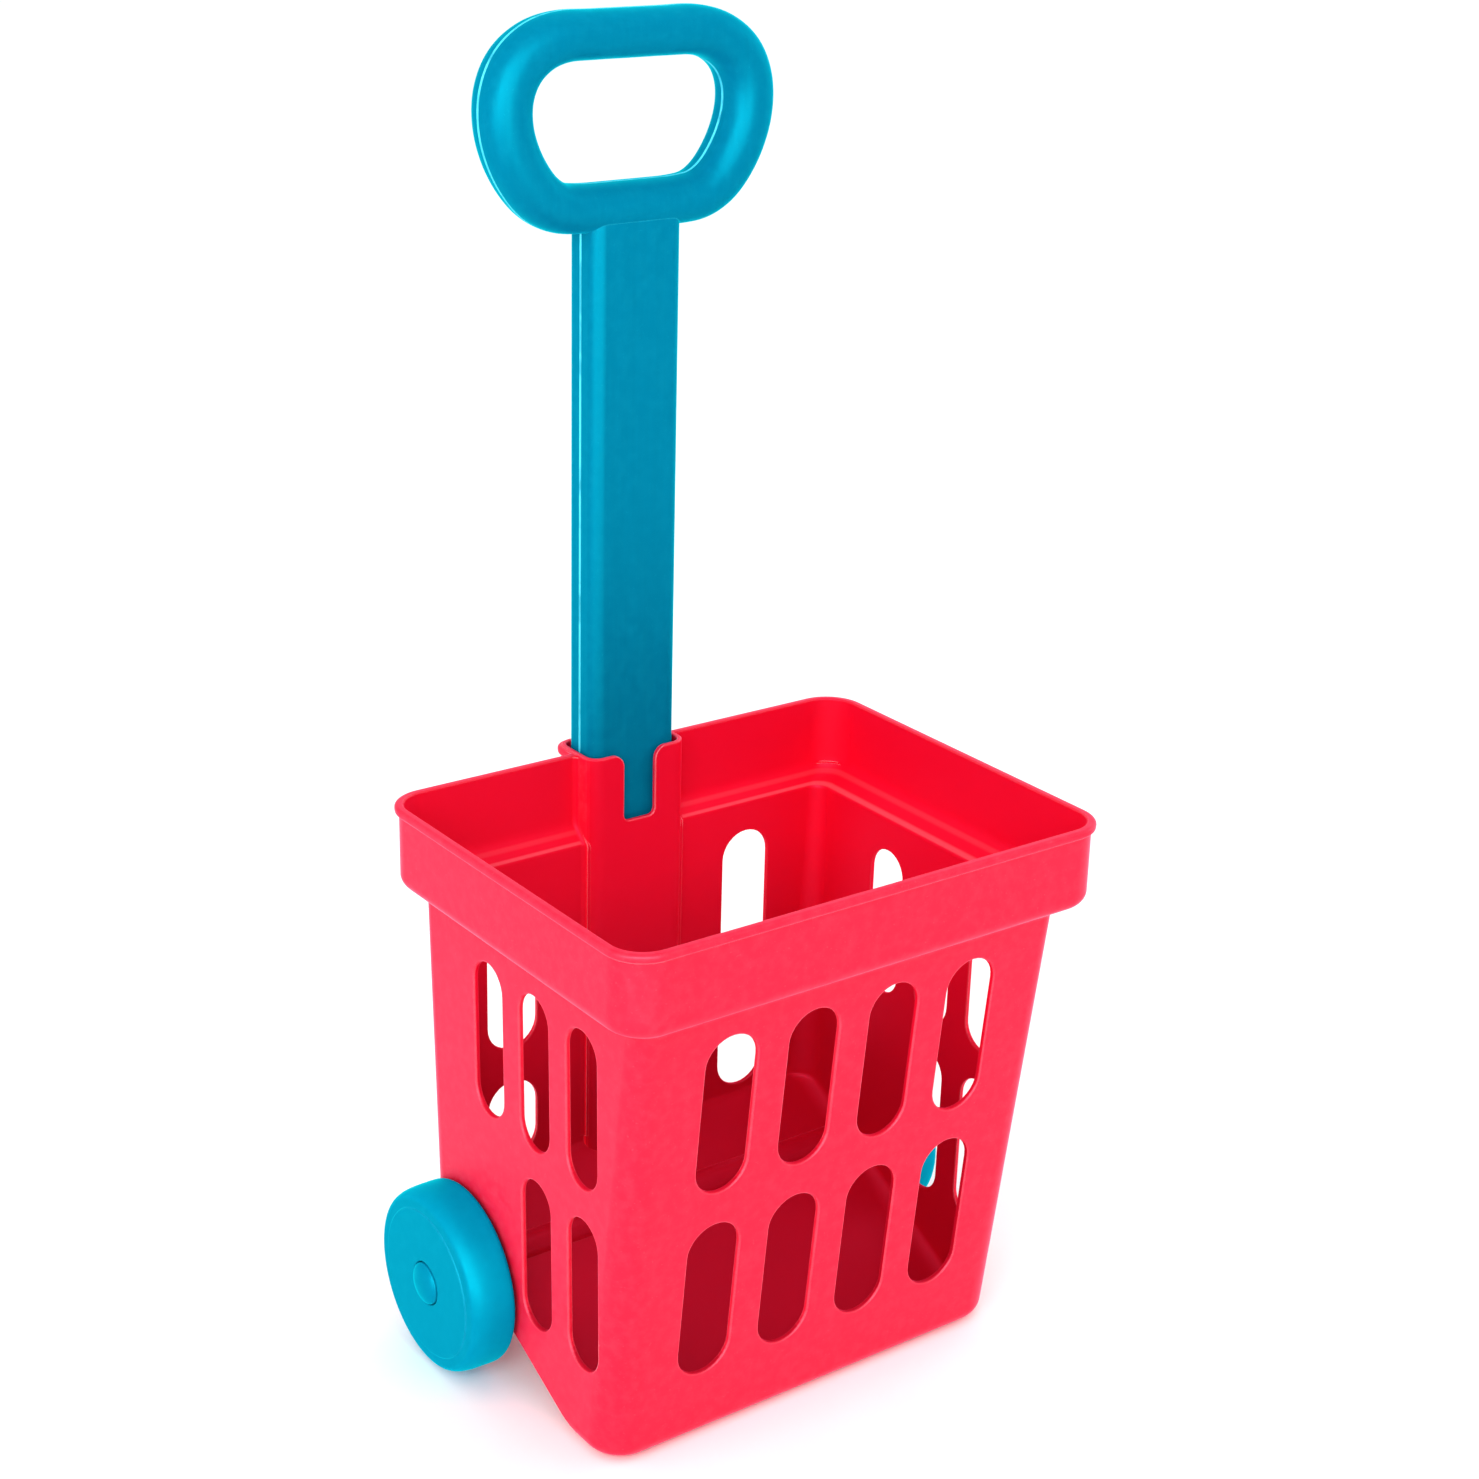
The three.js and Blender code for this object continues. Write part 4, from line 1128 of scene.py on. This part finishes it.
# ------------------------------------------------------------------ materials
def moulded(name, base, pale, deep, rough, grain, scatter, scatter_radius, edge,
            tint=(1, 1, 1), edge_radius=0.0011, inner=None, inside_shade_tint=None, seam_highlight=None, tread_lit=None):
    """injection-moulded plastic: satin, a little waxy, fine grain, faint flow variation

    pale is painted along edges as highlight and also marks specks; tint colours the sheen. inner is
    a darker colour painted inside the basket as shade, darker still low down, with a duller sheen
    there; the parting-line colour is painted along the handle's parting line as highlight, and the
    tread colour is painted on the wheel's tread as light. Radii are in metres.
    """
    n = Shader(name)
    flow = n.noise(scale=14, detail=3, rough=0.55)
    if seam_highlight:
        streak = n.noise(scale=520, detail=2, rough=0.55, stretch=(1, 1, 0.03))
    fine = n.noise(scale=1500, detail=2, rough=0.6)
    mid = n.noise(scale=220, detail=3, rough=0.6)

    colour = n.mix(n.ramp(flow, span=(0.3, 0.7), to=(0, 0.40)), base, deep)
    colour = n.mix(n.ramp(mid, span=(0.42, 0.75), to=(0.0, 0.03)), colour, pale)
    specks = n.ramp(n.noise(scale=900, detail=1, rough=0.5), span=(0.68, 0.8), to=(0, 0.06))
    colour = n.mix(specks, colour, pale)
    if seam_highlight:
        streaks = n.ramp(streak, span=(0.35, 0.7), to=(0.0, 0.16))
        colour = n.mix(streaks, colour, shade(base, 0.72))
    sheen = tint
    if inner:
        inside, low = n.inward()
        # painted shade inside the basket: the inner colour, darker still towards the bottom
        colour = n.mix(inside, colour, n.mix(low, inner, shade(inner, 0.58)))
        # the sheen inside the basket is dulled as painted shade
        sheen = n.mix(inside, tint, inside_shade_tint)
    # light painted on the tread: a paler teal over the shoulder and tread
    if tread_lit:
        colour = n.mix(n.tread(), colour, tread_lit)
    # highlight painted in the pale colour along convex edges, weaker deep inside the basket
    edges = n.calc("MULTIPLY", n.edge(edge_radius), edge)
    if inner:
        edges = n.calc("MULTIPLY", edges, n.calm(inside))
        # adds the highlight lines painted along the inner ledge
        edges = n.calc("MAXIMUM", edges, n.ledge(inside))
    colour = n.mix(edges, colour, pale)
    # paler colour and whiter sheen painted along the parting line as highlight
    if seam_highlight:
        line = n.parting()
        colour = n.mix(line, colour, seam_highlight)
        sheen = n.mix(line, sheen, (0.35, 1.0, 1.0))
    n.link(colour, n.bsdf.inputs["Base Color"])

    roughness = n.calc("ADD", n.ramp(mid, span=(0.3, 0.7), to=(rough - 0.05, rough + 0.06)),
                       n.ramp(fine, span=(0.3, 0.7), to=(-0.03, 0.03)))
    # faint rub marks catch the light differently
    rubs = n.ramp(n.noise(scale=60, detail=4, rough=0.7, stretch=(1, 1, 9)), span=(0.62, 0.72),
                  to=(0, 0.07))
    roughness = n.calc("ADD", roughness, rubs)
    reach, green, blue = scatter_radius
    for key, value in {"Roughness": 0.6, "Specular IOR Level": 0.0, "Subsurface Weight": scatter,
                       "Subsurface Radius": (1.0, green / reach, blue / reach),
                       "Subsurface Scale": reach}.items():
        n.bsdf.inputs[key].default_value = value
    normal = n.bump(n.noise(scale=26, detail=2, rough=0.5), strength=0.26, distance=0.0004)
    normal = n.bump(mid, strength=grain * 0.8, distance=0.0002, normal=normal)
    normal = n.bump(fine, strength=grain, distance=0.00012, normal=normal)
    n.link(normal, n.bsdf.inputs["Normal"])
    n.coat(sheen, roughness, normal)
    return n.mat


def metal(name, base, rough, scale, stretch=(1, 1, 1), dark=0.75):
    """metal with fine grain, and blotches that darken it towards dark times its colour"""
    n = Shader(name)
    grain = n.noise(scale=scale, detail=4, rough=0.65, stretch=stretch)
    blotches = n.noise(scale=90, detail=3, rough=0.6)
    colour = n.mix(n.ramp(blotches, span=(0.35, 0.7), to=(0, 0.6)), base, shade(base, dark))
    n.link(colour, n.bsdf.inputs["Base Color"])
    n.bsdf.inputs["Metallic"].default_value = 1.0
    roughness = n.calc("ADD", n.ramp(grain, span=(0.3, 0.7), to=(rough - 0.06, rough + 0.08)),
                       n.ramp(blotches, span=(0.4, 0.7), to=(0, 0.08)))
    n.link(roughness, n.bsdf.inputs["Roughness"])
    n.link(n.bump(grain, strength=0.25, distance=0.00005), n.bsdf.inputs["Normal"])
    return n.mat


def paper():
    n = Shader("floor_paper")
    tone = n.mix(n.ramp(n.noise(scale=3), span=(0.3, 0.7)), (0.98,) * 3, (0.995,) * 3)
    n.link(tone, n.bsdf.inputs["Base Color"])
    n.bsdf.inputs["Roughness"].default_value = 0.9
    n.bsdf.inputs["Specular IOR Level"].default_value = 0.1
    return n.mat


def paint(ob, mat):
    ob.data.materials.clear()
    ob.data.materials.append(mat)


TEAL_SCATTER = (0.0004, 0.002, 0.003)
# the inner colour and the sheen tint that goes with it are painted shade inside the basket
pink = moulded(
    "moulded_pink", base=(0.91, 0.004, 0.034), pale=(1.0, 0.40, 0.48), deep=(0.86, 0.003, 0.028),
    rough=0.42, grain=0.20, scatter=0.10, scatter_radius=(0.005, 0.0006, 0.0008), edge=0.90,
    tint=(1.0, 0.41, 0.59), edge_radius=0.0006, inner=(0.77, 0.002, 0.022),
    inside_shade_tint=(1.0, 0.10, 0.25))
# the handle's seam colour is a highlight painted along the parting line
teal = moulded(
    "moulded_teal", base=(0.0, 0.172, 0.318), pale=(0.03, 0.62, 0.80), deep=(0.0, 0.158, 0.295),
    rough=0.42, grain=0.20, scatter=0.06, scatter_radius=TEAL_SCATTER, edge=0.45,
    tint=(0.008, 0.90, 1.0), edge_radius=0.0008, seam_highlight=(0.06, 0.72, 0.90))
# the paler tread colour is light painted on the wheel's tread
teal_wheel = moulded(
    "moulded_teal_wheel", base=(0.0, 0.196, 0.340), pale=(0.03, 0.62, 0.80), deep=(0.0, 0.19, 0.33),
    rough=0.45, grain=0.16, scatter=0.06, scatter_radius=TEAL_SCATTER, edge=0.40,
    tint=(0.008, 0.92, 1.0), edge_radius=0.0008, tread_lit=(0.0, 0.46, 0.72))
teal_inner = moulded(
    "moulded_teal_inner", base=(0.0, 0.16, 0.31), pale=(0.03, 0.45, 0.60), deep=(0.0, 0.14, 0.28),
    rough=0.48, grain=0.24, scatter=0.05, scatter_radius=TEAL_SCATTER, edge=0.28,
    tint=(0.12, 0.85, 1.0))
nylon = moulded(
    "moulded_nylon", base=linear((226, 226, 220)), pale=linear((244, 244, 240)),
    deep=linear((214, 213, 205)), rough=0.45, grain=0.2, scatter=0.2,
    scatter_radius=(0.003, 0.003, 0.003), edge=0.2)
steel = metal("drawn_steel", base=(0.56, 0.57, 0.58), rough=0.26, scale=300, stretch=(1, 22, 22))
spring = metal("pressed_steel", base=(0.50, 0.51, 0.53), rough=0.34, scale=700)
zinc = metal("zinc_plate", base=(0.62, 0.63, 0.64), rough=0.30, scale=900, dark=0.82)

# start of a piece's name, its material
FINISHES = {
    "basket_shell": pink, "handle_front": teal, "handle_rear": teal, "handle_end_cap": teal_inner,
    "handle_screw": zinc, "wheel_shell": teal_wheel, "wheel_hub": teal_wheel,
    "wheel_back": teal_inner, "axle_rod": steel, "axle_push": spring, "axle_washer": nylon,
}
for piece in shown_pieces():
    for prefix, mat in FINISHES.items():
        if piece.name.startswith(prefix):
            paint(piece, mat)

# ------------------------------------------------------------------ floor and world (metres)
FLOOR_CORNERS = [(-30, -30), (30, -30), (30, 30), (-30, 30)]
floor = make([(x, y, z) for z in (0, -0.05) for x, y in FLOOR_CORNERS],
             [(0, 1, 2, 3), (7, 6, 5, 4), (0, 4, 5, 1), (1, 5, 6, 2), (2, 6, 7, 3), (3, 7, 4, 0)],
             name="floor")
paint(floor, paper())


def build_world(level, sides, front, zenith):
    """white room: a base level plus what is added towards each direction"""
    world = bpy.data.worlds.new("studio")
    scene.world = world
    world.use_nodes = True
    g = Graph(world.node_tree, "Generated")
    toward = g.xyz()
    side_part = g.calc("MULTIPLY", g.calc("POWER", g.calc("ABSOLUTE", toward["X"]), 2.0), sides)
    forward = g.calc("MAXIMUM", g.calc("MULTIPLY", toward["Y"], -1.0), 0.0)
    front_part = g.calc("MULTIPLY", forward, front)
    upward = g.calc("POWER", g.calc("MAXIMUM", toward["Z"], 0.0), 2.0)
    zenith_part = g.calc("MULTIPLY", upward, zenith)
    strength = g.calc("ADD", level, side_part)
    strength = g.calc("ADD", strength, front_part)
    strength = g.calc("ADD", strength, zenith_part)
    background = world.node_tree.nodes["Background"]
    background.inputs[0].default_value = (1, 1, 1, 1)
    g.link(strength, background.inputs[1])


build_world(level=0.79, sides=0.82, front=-0.30, zenith=0.22)


# ------------------------------------------------------------------ lights
def softbox(name, where, at, size, power, diffuse=True):
    data = bpy.data.lights.new(name, "AREA")
    data.shape = "RECTANGLE"
    data.size, data.size_y = size
    data.energy = power
    ob = bpy.data.objects.new(name, data)
    scene.collection.objects.link(ob)
    ob.location = where
    ob.rotation_mode = "QUATERNION"
    ob.rotation_quaternion = (Vector(at) - Vector(where)).to_track_quat("-Z", "Y")
    ob.visible_camera = False
    ob.visible_diffuse = diffuse


# the cards show in the gloss only
softbox("key_left", where=(-1.35, -1.1, 1.1), at=(0, 0, 0.25), size=(0.9, 1.0), power=14)
softbox("front_card", where=(-0.82, -1.36, 0.95), at=(0, 0, 0.3), size=(2.2, 2.0), power=88,
        diffuse=False)
softbox("low_card", where=(-0.15, -1.55, 0.35), at=(0, 0, 0.4), size=(1.0, 0.7), power=9,
        diffuse=False)
softbox("left_card", where=(-1.40, -0.52, 0.35), at=(0, 0, 0.4), size=(0.9, 0.8), power=13,
        diffuse=False)
softbox("top", where=(0.1, -0.1, 2.1), at=(0, 0, 0.2), size=(1.8, 1.8), power=6)
softbox("fill_right", where=(1.7, -0.5, 0.9), at=(0, 0, 0.3), size=(0.7, 1.4), power=6)


# ------------------------------------------------------------------ camera
def build_camera(place, azimuth, elevation, roll, lens):
    """place in metres, angles in degrees; azimuth turns the camera from -Y towards +X"""
    data = bpy.data.cameras.new("camera")
    camera = bpy.data.objects.new("camera", data)
    scene.collection.objects.link(camera)
    scene.camera = camera
    data.sensor_fit = "HORIZONTAL"
    data.sensor_width = 36.0
    data.lens = lens
    data.clip_start, data.clip_end = 0.05, 100
    az, el, tilt = (math.radians(angle) for angle in (azimuth, elevation, roll))
    back = Vector((math.sin(az) * math.cos(el), -math.cos(az) * math.cos(el), math.sin(el)))
    level = (-back).cross(Vector((0, 0, 1))).normalized()
    upright = level.cross(-back)
    right = level * math.cos(tilt) + upright * math.sin(tilt)
    up = -level * math.sin(tilt) + upright * math.cos(tilt)
    rows = [(right[k], up[k], back[k], place[k]) for k in range(3)]
    camera.matrix_world = Matrix((*rows, (0, 0, 0, 1)))


build_camera(place=Vector((-0.60248, -0.80712 + ORIGIN_Y / 1000, 0.67316)),
             azimuth=-36.555, elevation=21.261, roll=1.473, lens=64.38)

scene.view_settings.view_transform = "Standard"
scene.view_settings.look = "None"
